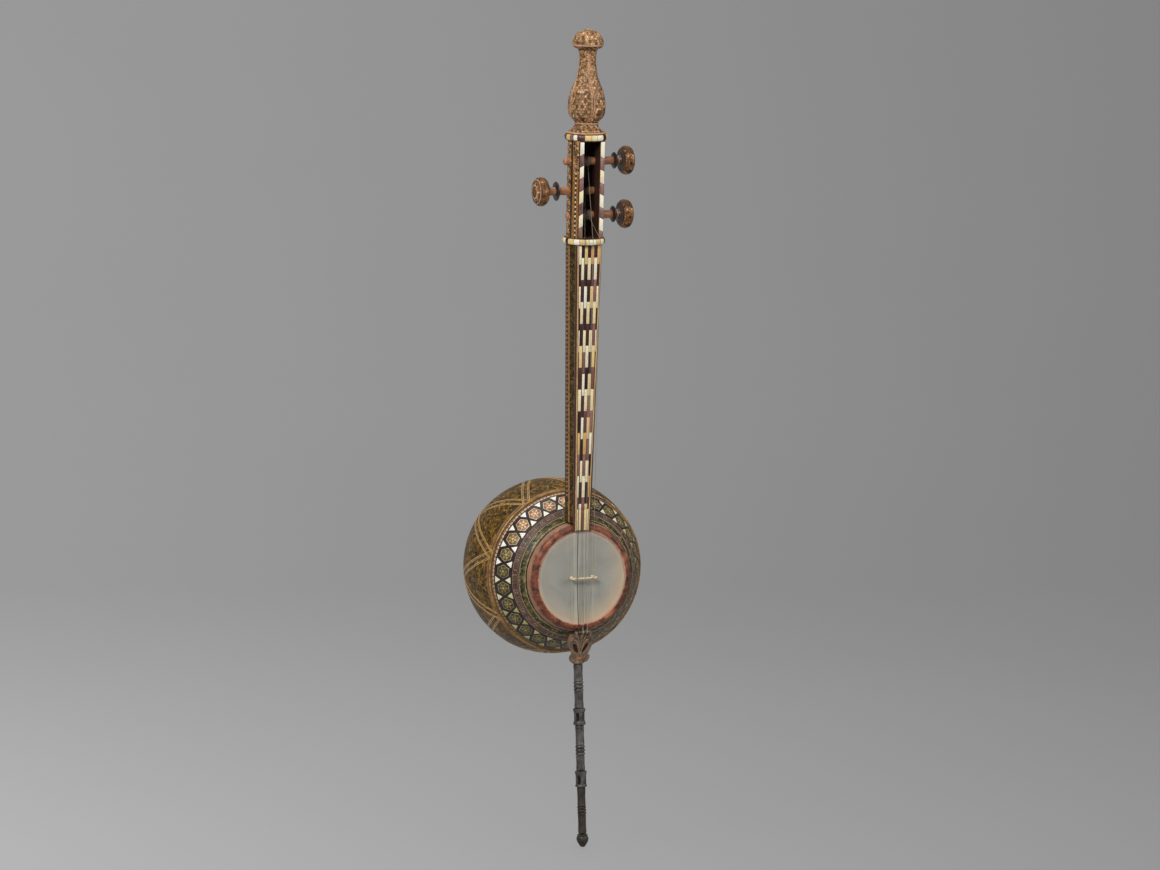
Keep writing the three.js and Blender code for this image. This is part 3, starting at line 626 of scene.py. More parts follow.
FINIAL_LINE = inlaid("finial_line", [(0.24, 0.12, 0.05), (0.50, 0.29, 0.16), (0.66, 0.42, 0.26)], 0.36, 0.4)
WALNUT = timber("walnut", (0.030, 0.012, 0.007), (0.085, 0.035, 0.018))
INTERIOR = timber("interior", (0.012, 0.004, 0.002), (0.060, 0.016, 0.006), 0.65, coat=0.0)
MAROON = timber("maroon", (0.042, 0.009, 0.009), (0.115, 0.030, 0.024), 0.36, grain=(60, 60, 4))
EDGING = timber("edging", (0.20, 0.085, 0.022), (0.46, 0.23, 0.07), 0.4, grain=(40, 40, 5))
TAN_EDGE = timber("tan_edge", (0.42, 0.25, 0.09), (0.80, 0.54, 0.25), 0.4, grain=(40, 40, 5))
PEG_WOOD = timber("peg_wood", (0.30, 0.115, 0.048), (0.62, 0.29, 0.14), 0.42, grain=(5, 40, 40))
EBONY = timber("ebony", (0.010, 0.006, 0.005), (0.035, 0.020, 0.014), 0.36, coat=0.3)
IVORY = bony("ivory", [(0.66, 0.36, 0.12), (0.84, 0.62, 0.27), (0.93, 0.83, 0.55), (0.95, 0.93, 0.80)])
BONE = bony("bone", [(0.55, 0.36, 0.20), (0.70, 0.52, 0.30), (0.80, 0.68, 0.45)], 0.4, (0.5, 0.5, 0.5), 0.7)
PURPLE = timber("purple_block", (0.10, 0.045, 0.045), (0.36, 0.20, 0.18), 0.42, grain=(40, 40, 8))
GROUND = inlaid("band_ground", [(0.014, 0.010, 0.014), (0.030, 0.019, 0.020)])
PETAL = inlaid("petals", [(0.20, 0.155, 0.055), (0.38, 0.27, 0.11), (0.66, 0.39, 0.21), (0.76, 0.51, 0.31)])
FIELD = inlaid("rosette_field", [(0.060, 0.050, 0.018), (0.15, 0.105, 0.038), (0.34, 0.175, 0.09)])
TRIANGLE = inlaid("triangles", [(0.13, 0.10, 0.04), (0.52, 0.48, 0.18), (0.80, 0.74, 0.46),
                                (0.95, 0.93, 0.84)], 0.34, 0.1)
DASH = inlaid("dashes", [(0.18, 0.11, 0.035), (0.46, 0.28, 0.15), (0.66, 0.46, 0.26)], 0.4, 0.3)
BLOCKS = inlaid("blocks", [(0.060, 0.036, 0.024), (0.19, 0.115, 0.078), (0.36, 0.235, 0.17)], 0.45, 0.35)
GOLD_BEAD = metal("gold_bead", (0.17, 0.095, 0.022), (0.50, 0.30, 0.09), (0.16, 0.075, 0.035), 0.4, 0.36,
                  0.35, 0.0002)
STRAP_LINE = inlaid("strap_line", [(0.34, 0.18, 0.04), (0.72, 0.45, 0.15)], 0.38, 0.45)
PINK_LINE = inlaid("pink_line", [(0.22, 0.105, 0.055), (0.36, 0.19, 0.11)], 0.4, 0.3)
PLATE_DARK = inlaid("dark_plates", [(0.022, 0.008, 0.008), (0.075, 0.024, 0.020), (0.30, 0.15, 0.12)],
                    0.36, 0.2)
# Dark red-brown backing for the bracket's eyes and its centre slot: painted shade.
RECESS_SHADE = metal("painted_recess_shade", (0.030, 0.010, 0.007), (0.075, 0.024, 0.014), (0.10, 0.035, 0.016), 0.4,
                0.7, 0.1, 0.0005)
ORANGE_BAND = inlaid("orange_band", [(0.16, 0.07, 0.018), (0.30, 0.14, 0.035), (0.52, 0.25, 0.08)], 0.4,
                     0.5)
PALE_LINE = inlaid("pale_line", [(0.26, 0.20, 0.12), (0.42, 0.34, 0.22)], 0.4, 0.3)
IRON = metal("iron", (0.032, 0.030, 0.029), (0.165, 0.154, 0.142), (0.11, 0.070, 0.048), 0.18, 0.50, 0.5,
             0.0005)
DARK_IRON = metal("dark_iron", (0.016, 0.013, 0.011), (0.068, 0.054, 0.044), (0.055, 0.032, 0.020), 0.2,
                  0.52, 0.4, 0.0005)
RUST = metal("rusty_iron", (0.062, 0.044, 0.034), (0.27, 0.195, 0.135), (0.25, 0.115, 0.055), 0.42, 0.62,
             0.25, 0.0007)
TAN_IRON = metal("worn_iron", (0.17, 0.115, 0.070), (0.48, 0.34, 0.21), (0.20, 0.10, 0.05), 0.3, 0.5, 0.3,
                 0.0005)
PARCHMENT = parchment()
LEATHER = leather()
GUT = cord_finish("gut", (0.15, 0.115, 0.08), (0.38, 0.31, 0.22))
STEEL = cord_finish("steel", (0.035, 0.028, 0.022), (0.13, 0.105, 0.08), 0.36, 0.6)

# ---- bowl ----
SKIN = BOWL_RADIUS - 0.45  # the mosaic's surface; straps and lines stand above it
BACK_STOP = 36.0
BACK_FROM = 67.0  # angles from the belly's centre at which the bands of the bowl start and stop
BEAD_FROM = 64.1
ROSETTES_FROM = 48.5
BLOCKS_FROM = 44.5
MOSAIC_FROM = 38.9
CELLS_AROUND = 182


def mercator(point, around):
    """A bowl point's place in the pattern, whose cells keep their shape. around of them make a turn."""
    d = (point - BOWL_CENTRE).normalized()
    a = math.acos(clamp(-d.y, -0.999999, 0.999999))
    t = math.atan2(-d.x, d.z)
    return (around * t / TAU, math.log(math.tan(a / 2)) * around / TAU)


def band(shape, start, end, radius, depth=1.0, around=CELLS_AROUND, mat=0, sides=192, step=2.5, shade=0.5):
    """A ring of veneer between two angles."""
    n = max(2, round((end - start) / step))
    outer = [lerp(start, end, i / n) for i in range(n + 1)]
    profile = [(radius * math.sin(rad(a)), radius * math.cos(rad(a))) for a in outer]
    inner = radius - depth
    profile += [(inner * math.sin(rad(a)), inner * math.cos(rad(a))) for a in reversed(outer)]
    shape.lathe(BOWL, profile, sides, around, mat, shade, close=True)


def ring_rib(shape, angle, width, height, mat, radius=SKIN, sides=192, around=400, shade=0.5):
    """A raised line round the bowl: half round, sunk at its foot."""
    profile = []
    for k in range(7):
        t = math.pi * k / 6
        a = rad(angle) - width / 2 * math.cos(t) / radius
        r = radius + height * math.sin(t)
        profile.append((r * math.sin(a), r * math.cos(a)))
    foot = radius - 0.4
    for sign in (1, -1):
        a = rad(angle) + sign * width / 2 / radius
        profile.append((foot * math.sin(a), foot * math.cos(a)))
    shape.lathe(BOWL, profile, sides, around, mat, shade, close=True)


def band_place(turn, angle, height):
    return on_bowl(angle, turn, SKIN + height)


def local_place(angle, turn):
    """Millimetres across and along at a point of the bowl."""
    centre = (on_bowl(angle, turn, 1.0) - BOWL_CENTRE).normalized()
    along = (on_bowl(angle + 0.1, turn, 1.0) - on_bowl(angle - 0.1, turn, 1.0)).normalized()
    across = centre.cross(along)

    def place(x, y, height):
        d = (centre * SKIN + across * x + along * y).normalized()
        return BOWL_CENTRE + d * (SKIN + height)

    return place


def polygon(radius, sides):
    return [(radius * math.cos(t), radius * math.sin(t)) for t in shares(sides)]


def ring_at(angle, radius, sides):
    return [on_bowl(angle, 360 * j / sides, radius) for j in range(sides)]


def oblong(middle, half, low, high):
    """A patch on the bowl, as corners of turn and angle."""
    return [(middle - half, low), (middle + half, low), (middle + half, high), (middle - half, high)]


def petal(t, marks):
    """A petal's outline. marks holds how far out each corner is and its turn from the petal's middle."""
    return [(r * math.cos(t + d), r * math.sin(t + d)) for r, d in marks]


def build_back():
    shape = Shape()
    sides = 192
    around = CELLS_AROUND
    angles = [BACK_FROM + (180 - BACK_STOP - BACK_FROM) * i / 44 for i in range(45)]
    rows = [ring_at(a, SKIN, sides) for a in angles]
    v = [math.log(math.tan(rad(a) / 2)) * around / TAU for a in angles]
    shape.grid(rows, lambda i, j: (around * j / sides, v[i]))
    back = [180 - BACK_STOP * (1 - i / 16) for i in range(17)]
    rows = [ring_at(a, SKIN, sides) for a in back]

    def polar(i, j):
        t = rad(360 * j / sides)
        r = 62 * math.tan(rad(180 - back[i]) / 2)
        return (r * math.cos(t), r * math.sin(t))

    shape.grid(rows, polar)
    lip = [ring_at(BACK_FROM, SKIN, sides), ring_at(BACK_FROM + 0.2, SKIN - 1.3, sides)]
    shape.grid(lip, lambda i, j: (around * j / sides, 0.3 * i))
    inside = [67.2 + 112.8 * i / 40 for i in range(41)]
    rows = [ring_at(a, SKIN - 1.3, sides) for a in inside]
    shape.grid(rows, lambda i, j: (around * j / sides, i))
    piece("bowl_back", shape, [KHATAM_BOWL], replaces=["rear_marquetry"], smooth=30)


STRAP_TILT = 26.5
STRAP_TURN = 101.86
CORNERS = 8
CORNER_AT = 30.0


def strap_direction(corner_turn, side, w, offset):
    """A point of a great circle that passes STRAP_TILT degrees from the back pole, shifted sideways."""
    nearest = on_bowl(180 - STRAP_TILT, corner_turn + side * STRAP_TURN, 1.0) - BOWL_CENTRE
    ahead = on_bowl(90, corner_turn + side * (STRAP_TURN + 90), 1.0) - BOWL_CENTRE
    normal = nearest.cross(ahead)
    flat = nearest * math.cos(rad(w)) + ahead * math.sin(rad(w))
    return flat * math.cos(rad(offset)) + normal * math.sin(rad(offset))


def strap_ends(corner_turn, side, offset):
    """Where a line of the strap leaves the bead and where it reaches the next corner's meridian."""
    start = end = None
    w = -130.0
    target = corner_turn + side * 360 / CORNERS
    while w < 0:
        d = strap_direction(corner_turn, side, w, offset)
        angle = math.degrees(math.acos(clamp(-d.y, -1, 1)))
        turn = math.degrees(math.atan2(-d.x, d.z))
        past = side * ((turn - target + 180) % 360 - 180)
        if start is None and angle > 66.9:
            start = w
        if start is not None and past > 0 and angle > 110:
            end = w
            break
        w += 0.1
    return start, end


def strap_bar(shape, corner_turn, side, offsets, heights, mat, steps=54):
    """A bar along a strap. offsets and heights list its cross-section from one foot to the other."""
    ends = [strap_ends(corner_turn, side, o) for o in offsets]
    rings = []
    for i in range(steps + 1):
        ring = []
        for (start, end), o, h in zip(ends, offsets, heights):
            d = strap_direction(corner_turn, side, lerp(start, end, i / steps), o)
            ring.append(BOWL_CENTRE + d * (SKIN + h))
        rings.append(ring)
    count = len(offsets)
    around = 210
    places = [[mercator(p, around) for p in ring] for ring in rings]
    for row in places:
        for j, (u, v) in enumerate(row):
            if u - places[0][0][0] > around / 2:
                row[j] = (u - around, v)
            elif places[0][0][0] - u > around / 2:
                row[j] = (u + around, v)
    shape.grid(rings, lambda i, j: places[i][j % count], mat)
    for ring in (rings[0][::-1], rings[-1]):
        shape.face(ring, [(0, 0)] * count, mat)


def build_straps():
    shape = Shape()
    for side, lift in ((1, 0.0), (-1, 0.14)):
        for n in range(CORNERS):
            turn = CORNER_AT + n * 360 / CORNERS
            across = [-1.55, -0.8, 0, 0.8, 1.55]
            strap_bar(shape, turn, side, [-1.55, *across, 1.55], [-0.4] + [0.05 + lift] * 5 + [-0.4], 0)
            for edge in (-1, 1):
                for centre, half, height in ((2.42, 0.27, 0.20), (1.50, 0.22, 0.18)):
                    o = [edge * (centre + k * half) for k in (-1, -1, -0.5, 0.5, 1, 1)]
                    shoulder = height * 0.55 + lift
                    h = [-0.4, shoulder, height + lift, height + lift, shoulder, -0.4]
                    strap_bar(shape, turn, side, o, h, 1)
                o = [edge * x for x in (1.76, 1.76, 2.10, 2.10)]
                strap_bar(shape, turn, side, o, [-0.4, 0.02 + lift, 0.02 + lift, -0.4], 3)
    piece("star_straps", shape, [KHATAM_STRAP, STRAP_LINE, PINK_LINE, EBONY], smooth=50)


def build_medallion():
    shape = Shape()
    ring_rib(shape, 180 - BACK_STOP, 2.6, 0.9, 0, sides=144)
    ring_rib(shape, 180 - BACK_STOP + 2.2, 0.9, 0.25, 1, sides=144)
    ring_rib(shape, 180 - 10.5, 1.4, 0.35, 0, sides=96)
    place = local_place(179.99, 0)
    for k in range(8):
        t = rad(45 * k + 30)

        def around(x, y, t=t):
            return (x * math.cos(t) - y * math.sin(t), x * math.sin(t) + y * math.cos(t))

        kite = [around(*p) for p in ((20, 0), (31, 5.2), (53, 0), (31, -5.2))]
        shape.tile(place, kite, -0.3, 0.16, 0.15, 2, 0.35 + 0.3 * (k % 2))
        for flip in (-1, 1):
            mark = [around(46.5, flip * 13.5), around(54.5, flip * 9.6), around(54, flip * 16.6)]
            shape.tile(place, mark, -0.3, 0.14, 0.12, 3, 0.8)
    for k in range(16):
        t = rad(22.5 * k)
        outline = petal(t, ((5, 0), (10, 0.17), (16, 0), (10, -0.17)))
        shape.tile(place, outline, -0.3, 0.14, 0.1, 3 if k % 2 else 2, 0.6)
    shape.tile(place, polygon(3.6, 12), -0.3, 0.3, 0.3, 0, 0.8)
    piece("back_medallion", shape, [GOLD_BEAD, PINK_LINE, PETAL, TRIANGLE])


def build_bead():
    shape = Shape()
    at = rad(65.8)
    radius = 1.55
    profile = []
    for t in shares(14):
        profile.append((BOWL_RADIUS * math.sin(at) + radius * math.cos(t),
                        BOWL_RADIUS * math.cos(at) + radius * math.sin(t)))
    shape.lathe(BOWL, profile, 192, 400, 0, close=True)
    band(shape, BEAD_FROM, BACK_FROM, SKIN - 0.1, 1.2, mat=1)
    piece("gold_bead_ring", shape, [GOLD_BEAD, EBONY], replaces=["belly_bead"], smooth=60)
    lines = Shape()
    ring_rib(lines, 68.0, 1.1, 0.32, 1)
    ring_rib(lines, 68.75, 0.7, 0.2, 0)
    ring_rib(lines, 64.35, 0.9, 0.3, 0)
    piece("bead_lines", lines, [PINK_LINE, EDGING], smooth=60)


ROSETTES = 27


def stretched(radius):
    """A hexagon with a corner towards each neighbour, a little longer across the band."""
    return [(x, y * 1.12) for x, y in polygon(radius, 6)]


def build_rosettes():
    shape = Shape()
    band(shape, ROSETTES_FROM, BEAD_FROM + 0.1, SKIN, 1.3, mat=0, around=300)
    for n in range(ROSETTES):
        turn = 5.0 + n * 360 / ROSETTES
        mirrored = (turn + 180) % 360 - 180
        # Rosettes grow paler and pinker towards the upper left: partly their own tones, partly painted
        # light.
        warm = clamp((88 - abs(mirrored)) / 55) if mirrored > 0 else clamp((70 - abs(mirrored)) / 70) * 0.5
        warm = clamp(warm + rng.uniform(-0.12, 0.12))
        place = local_place(55.4, turn)
        shape.tile(place, stretched(7.7), -0.4, 0.12, 0.14, 1, clamp(warm + 0.15))
        shape.tile(place, stretched(6.9), -0.4, 0.16, 0.1, 2, warm)
        for k in range(6):
            t = rad(60 * k + 30)
            outline = petal(t, ((1.5, 0), (3.6, 0.42), (6.0, 0), (3.6, -0.42)))
            shape.tile(place, outline, -0.4, 0.24, 0.16, 1, clamp(warm + rng.uniform(-0.1, 0.15)))
        shape.tile(place, polygon(1.4, 6), -0.4, 0.28, 0.14, 3, 0.2 + 0.5 * warm)
        middle = turn + 180 / ROSETTES
        seen = (middle + 180) % 360 - 180
        # Triangles are whiter towards the top and the left: partly their own tones, partly painted light.
        white = 0.36 + 0.64 * clamp((118 - seen) / 40) if seen > 0 else 0.1 + 0.75 * clamp((75 + seen) / 40)
        for base, apex, half in ((61.4, 57.5, 2.5), (49.7, 53.5, 2.8)):
            marks = [(middle - half, base), (middle + half, base), (middle, apex)]
            tone = clamp(white + rng.uniform(-0.12, 0.08))
            shape.tile(band_place, marks, -0.4, 0.2, 0.02, 3, tone)
            eye = lerp(base, apex, 0.36)
            dot = [(middle + 0.34 * math.cos(t), eye + 0.26 * math.sin(t)) for t in (0.5, 2.6, 4.7)]
            if white < 0.6:
                shape.tile(band_place, dot, -0.1, 0.24, 0.0, 2, 0.4)
    dashes = 126
    for n in range(dashes):
        middle = n * 360 / dashes
        half = 360 / dashes * 0.40
        # The dashes are paler around the upper left: painted light.
        lit = clamp((100 - abs((middle - 40 + 180) % 360 - 180)) / 70)
        tone = clamp(lit * 0.8 + rng.uniform(-0.15, 0.2))
        shape.tile(band_place, oblong(middle, half, 62.35, 63.65), -0.4, 0.14, 0.02, 4, tone)
    piece("rosette_inlay", shape, [GROUND, PETAL, FIELD, TRIANGLE, DASH], replaces=["rosette_band"])


def build_inner_bands():
    shape = Shape()
    band(shape, BLOCKS_FROM, ROSETTES_FROM, SKIN, 1.3, mat=0, around=300)
    ring_rib(shape, 48.25, 0.8, 0.22, 2)
    ring_rib(shape, 44.75, 0.7, 0.2, 2)
    blocks = 158
    for n in range(blocks):
        middle = n * 360 / blocks
        half = 360 / blocks * 0.36
        tone = clamp(0.45 + rng.uniform(-0.35, 0.45))
        shape.tile(band_place, oblong(middle, half, 45.35, 47.7), -0.4, 0.13, 0.02, 1, tone)
        inner = oblong(middle, half * 0.4, 45.9, 47.1)
        shape.tile(band_place, inner, -0.1, 0.17, 0.01, 3, clamp(1 - tone))
    piece("block_inlay", shape, [GROUND, BLOCKS, PINK_LINE, GROUND], replaces=["block_band"])
    shape = Shape()
    band(shape, MOSAIC_FROM, BLOCKS_FROM - 0.2, SKIN, 1.3, mat=0, around=150, step=0.9)
    ring_rib(shape, 43.75, 0.75, 0.22, 1)
    ring_rib(shape, 39.6, 0.75, 0.22, 1)
    ring_rib(shape, 44.2, 0.5, 0.16, 2)
    piece("mosaic_ring", shape, [KHATAM_GREEN, PALE_LINE, EBONY], replaces=["mosaic_band"])


def wobble(turn, size, *waves):
    return size * sum(math.sin(k * turn + p) for k, p in waves) / len(waves)


MOUTH = 85.9  # the bowl's mouth, ahead of the bowl's centre
SKIN_GAP = 0.35
SKIN_THICK = 0.7
LEATHER_LIFT = 1.4
LEATHER_THICK = 1.1


def build_belly():
    front = MOUTH + SKIN_GAP + SKIN_THICK
    shape = Shape()

    def sag(r, h):
        return h - 0.35 * math.exp(-((r / 26) ** 2)) if r < 50 and h > front - 0.2 else h

    outer = [(r, sag(r, front)) for r in (0.01, 4, 8, 12, 16, 20, 26, 32, 38, 44, 50, 54)]
    outer += [(56.5, front - 0.05), (57.6, 85.6), (58.5, 83.0), (59.3, 80.4)]
    inner = [(58.8, 80.5), (58.0, 83.3), (56.3, 86.1), (50, 86.2), (0.01, 86.0)]
    shape.lathe(BOWL, outer + inner, 128, 60)
    piece("parchment_belly", shape, [PARCHMENT], replaces=["skin_membrane"], smooth=60)

    shape = Shape()
    top = MOUTH + LEATHER_LIFT + LEATHER_THICK

    def uneven(r, h, t):
        edge = clamp((54 - r) / 3)
        rim = clamp((r - 60) / 1.0)
        outward = edge * wobble(t, 0.75, (3, 0.4), (7, 1.9), (13, 4.0))
        return r + outward - rim * abs(wobble(t, 0.5, (5, 1.0), (11, 2.0)))

    profile = [(51.4, 87.35), (51.3, 87.9), (51.9, top - 0.15), (53.2, top), (55.2, top - 0.02),
               (56.7, top - 0.35), (58.0, top - 1.5), (59.3, 84.4), (60.2, 82.2), (60.7, 80.4),
               (61.1, 78.6), (61.35, 77.3), (60.8, 77.0), (60.1, 78.6), (59.9, 80.1), (59.0, 83.6),
               (57.4, 86.8), (55.0, 87.3)]
    shape.lathe(BOWL, profile, 240, 260, close=True, radial=uneven)
    piece("leather_rim", shape, [LEATHER], replaces=["leather_ring"], smooth=60)


def build_bridge():
    low, high = node_box("bridge")
    back = high.y
    height = high.y - low.y
    z = (low.z + high.z) / 2
    shape = Shape()
    stations = [i / 24 * 2 - 1 for i in range(25)]
    rings = []
    for x in stations:
        swell = 1.05 + 0.28 * abs(x) ** 6 + (0.12 if abs(abs(x) - 0.66) < 0.05 else 0)
        crest = height - 0.15 - 0.5 * (abs(x) ** 8)
        under = 4.4 + 0.4 * math.cos(x * math.pi)
        ring = []
        for t in shares(12):
            mid = (crest + under) / 2
            ring.append(Vector((x * 14.9, back - mid - (crest - under) / 2 * math.sin(t),
                                z + swell * math.cos(t))))
        rings.append(ring)
    shape.sweep(rings, 0.3, 0, 0.7)
    for side in (-1, 1):
        post = Axes((side * 12.6, back, z), (1, 0, 0), (0, 0, 1), (0, -1, 0))
        profile = refine([(0.01, 0.05), (2.1, 0.05), (2.35, 0.9), (1.5, 2.2), (1.2, 3.6), (1.5, 5.6),
                          (1.75, 7.0), (1.2, 8.0), (0.01, 8.15)], 3)
        squeeze = [(r * (0.62 if 1.4 < h < 7.6 else 0.9), h) for r, h in profile]
        shape.lathe(post, [(min(r, 1.3 if h > 1.2 else 2.3), h) for r, h in squeeze], 20, 8, 0, 0.85)
    piece("bone_bridge", shape, [BONE], replaces=["bridge"], smooth=60)


# ---- neck ----
FOOT = 53.0
TOP = 368.0
FOOT_SIZE = dict(radius=14.0, front=12.9, half=8.2)
TOP_SIZE = dict(radius=19.5, front=17.0, half=14.2)
BOX_SIZE = dict(radius=19.5, front=17.6, half=14.7)
BOX_FROM = 375.3
BOX_TO = 479.9
BOARD = 2.2


def neck_size(s):
    t = (s - FOOT) / (TOP - FOOT)
    return {k: lerp(FOOT_SIZE[k], TOP_SIZE[k], t) for k in TOP_SIZE}


def section(size, front, steps=36):
    """The points of one section, from its right front corner round the back to the left one."""
    reach = math.hypot(size["front"], size["half"])
    angle = math.atan2(-size["front"], size["half"]) + math.acos(min(1, size["radius"] / reach))
    tx = size["radius"] * math.cos(angle)
    ty = size["radius"] * math.sin(angle)
    half = size["half"] + (tx - size["half"]) * (front + size["front"]) / (ty + size["front"])
    points = [(half + (tx - half) * k / 6, front + (ty - front) * k / 6) for k in range(6)]
    for i in range(steps + 1):
        a = angle + (math.pi - 2 * angle) * i / steps
        points.append((size["radius"] * math.cos(a), size["radius"] * math.sin(a)))
    points += [(-half - (tx - half) * k / 6, front + (ty - front) * k / 6) for k in range(5, -1, -1)]
    return points


def girths(points):
    run = [0.0]
    for a, b in zip(points, points[1:]):
        run.append(run[-1] + math.dist(a, b))
    return run


NECK_CELL = 2.6


def side_strip(trim, sizes, stations, span, lift, mat, shade=0.5):
    """A raised strip along both sides. span has its edges, as shares of the flat and of the radius."""
    rings = []
    for size, s in zip(sizes, stations):
        pts = section(size, size["start"])
        run = girths(pts)
        flat = run[6]
        edges = [a * flat + b * size["radius"] for a, b in span]
        ring = []
        for d, up_by in ((edges[0], -0.3), (edges[0], lift), (sum(edges) / 2, lift * 1.1),
                         (edges[1], lift), (edges[1], -0.3)):
            k = min(max(i for i, r in enumerate(run) if r <= d + 1e-9), len(pts) - 2)
            share = (d - run[k]) / (run[k + 1] - run[k])
            x = lerp(pts[k][0], pts[k + 1][0], share)
            y = lerp(pts[k][1], pts[k + 1][1], share)
            tx = pts[k + 1][0] - pts[k][0]
            ty = pts[k + 1][1] - pts[k][1]
            n = math.hypot(tx, ty)
            ring.append((x + ty / n * up_by, y - tx / n * up_by, s))
        rings.append(ring)
    for sign in (1, -1):
        trim.sweep([[NECK(sign * x, y, z) for x, y, z in ring] for ring in rings], 0.4, mat, shade)


def neck_sizes(stations):
    out = []
    for s in stations:
        size = neck_size(s)
        size["start"] = -size["front"] + BOARD + 0.05
        out.append(size)
    return out


def build_neck():
    shape = Shape()
    rows = []
    stations = [61.5 + (TOP - 0.3 - 61.5) * i / 40 for i in range(41)]
    for s in stations:
        size = neck_size(s)
        rows.append(section(size, -size["front"] + BOARD + 0.05))
    runs = [girths(row) for row in rows]
    mid = [run[-1] / 2 for run in runs]
    cell = NECK_CELL
    points = [[NECK(x, y, s) for x, y in row] for row, s in zip(rows, stations)]
    shape.grid(points, lambda i, j: ((runs[i][j] - mid[i]) / cell, stations[i] / cell), wrap=False)
    for row, s in ((points[0][::-1], stations[0]), (points[-1], stations[-1])):
        shape.face(row, [(0, 0)] * len(row), 1)
    front = [[row[-1], row[0]] for row in points]
    shape.grid(front, lambda i, j: (j * 4, stations[i] / cell), 1, wrap=False)
    piece("neck_body", shape, [KHATAM_NECK, WALNUT], replaces=["neck_core"], smooth=35)

    # Lines let in along the sides: brown edging by the board, an orange band and a chequered line.
    trim = Shape()
    whole = [lerp(62, TOP - 0.6, i / 12) for i in range(13)]
    for span, lift, mat in ((((0.01, 0), (0.07, 0)), 0.12, 0), (((0.08, 0), (0.12, 0)), 0.16, 1),
                            (((1, 0.06), (1, 0.085)), 0.14, 2), (((1, 0.09), (1, 0.24)), 0.12, 3),
                            (((1, 0.245), (1, 0.27)), 0.14, 2)):
        side_strip(trim, neck_sizes(whole), whole, span, lift, mat)
    dots = 56
    for k in range(dots):
        s0 = lerp(88, TOP - 2, k / dots)
        s1 = lerp(88, TOP - 2, (k + 1) / dots)
        middle = lerp(s0, s1, 0.5)
        for ends, mat in (((s0, middle - 0.1), 2), ((middle + 0.1, s1 - 0.2), 1)):
            side_strip(trim, neck_sizes(ends), ends, ((1, 0.29), (1, 0.56)), 0.13, mat)
    piece("neck_lines", trim, [WALNUT, EDGING, EBONY, ORANGE_BAND], smooth=50)


COLUMN = 3.67
PLATE_LONG = 24.0


def build_fingerboard():
    shape = Shape()
    rings = []
    stations = [lerp(FOOT + 0.1, TOP - 0.1, i / 12) for i in range(13)]
    for s in stations:
        size = neck_size(s)
        half = section(size, -size["front"])[0][0]
        back = section(size, -size["front"] + BOARD)[0][0]
        y = -size["front"]
        ring = [(half - 0.35, y + 0.5), (half, y + 0.75), (back, y + BOARD), (-back, y + BOARD),
                (-half, y + 0.75), (-half + 0.35, y + 0.5)]
        rings.append([NECK(a, b, s) for a, b in ring])
    shape.sweep(rings, 0.4, 0)
    for sign in (-1, 1):
        for inset, wide, lift, mat in ((0.15, 1.35, 0.42, 2), (1.5, 0.4, 0.34, 1)):
            rings = []
            for s in stations:
                size = neck_size(s)
                y = -size["front"] + 0.5
                x1 = size["half"] - inset
                x0 = x1 - wide
                ring = [(x0, y + 0.2), (x0, y - lift + 0.1), (x0 + 0.12, y - lift), (x1 - 0.15, y - lift),
                        (x1, y - lift + 0.15), (x1, y + 0.2)]
                rings.append([NECK(sign * a, b, s) for a, b in ring])
            shape.sweep(rings, 0.4, mat, 0.5)

    def place(x, s, height):
        return NECK(x, -neck_size(s)["front"] + 0.5 - height, s)

    plates = []
    for column in range(-3, 4):
        start = TOP + 3.3 + (0 if column % 2 else 7.0)
        for k in range(15):
            ivory = k % 2 == 0 if column % 2 else k % 2 == 1
            high = min(start - k * PLATE_LONG, TOP - 0.5)
            low = max(start - (k + 1) * PLATE_LONG, FOOT + 24.4)
            if high - low > 1.5:
                plates.append((column, low + 0.12, high - 0.12, ivory))
    plates += [(c, FOOT + 0.8, FOOT + 24.2, c != 0) for c in (-2, -1, 0, 1, 2)]
    for column, low, high, ivory in plates:
        x0 = column * COLUMN - 1.66
        x1 = column * COLUMN + 1.66
        corners = []
        for x, s in ((x0, low), (x1, low), (x1, high), (x0, high)):
            edge = neck_size(s)["half"] - 2.0
            corners.append((clamp(x, -edge, edge), s))
        if abs(corners[1][0] - corners[0][0]) < 0.5 and abs(corners[2][0] - corners[3][0]) < 0.5:
            continue
        if abs(corners[1][0] - corners[0][0]) < 0.3:
            grow = 0.3 if x0 > 0 else -0.3
            corners[0] = (corners[0][0] - grow, low)
        if ivory:
            tone = clamp(rng.choice((0.12, 0.4, 0.7, 0.95, 0.85, 0.6)) + rng.uniform(-0.1, 0.08))
            if low < FOOT + 20:
                tone = 0.3 + 0.15 * abs(column)
        else:
            tone = rng.choice((0.05, 0.25, 0.45, 0.8, 1.0)) * rng.uniform(0.8, 1.0)
        top = (0.44 if ivory else 0.36) + rng.uniform(-0.02, 0.04)
        shape.tile(place, corners, -0.2, top, 0.09, 3 if ivory else 4, tone, 0.5)
    piece("fingerboard_inlay", shape, [MAROON, WALNUT, TAN_EDGE, IVORY, PLATE_DARK],
          replaces=["fingerboard"])


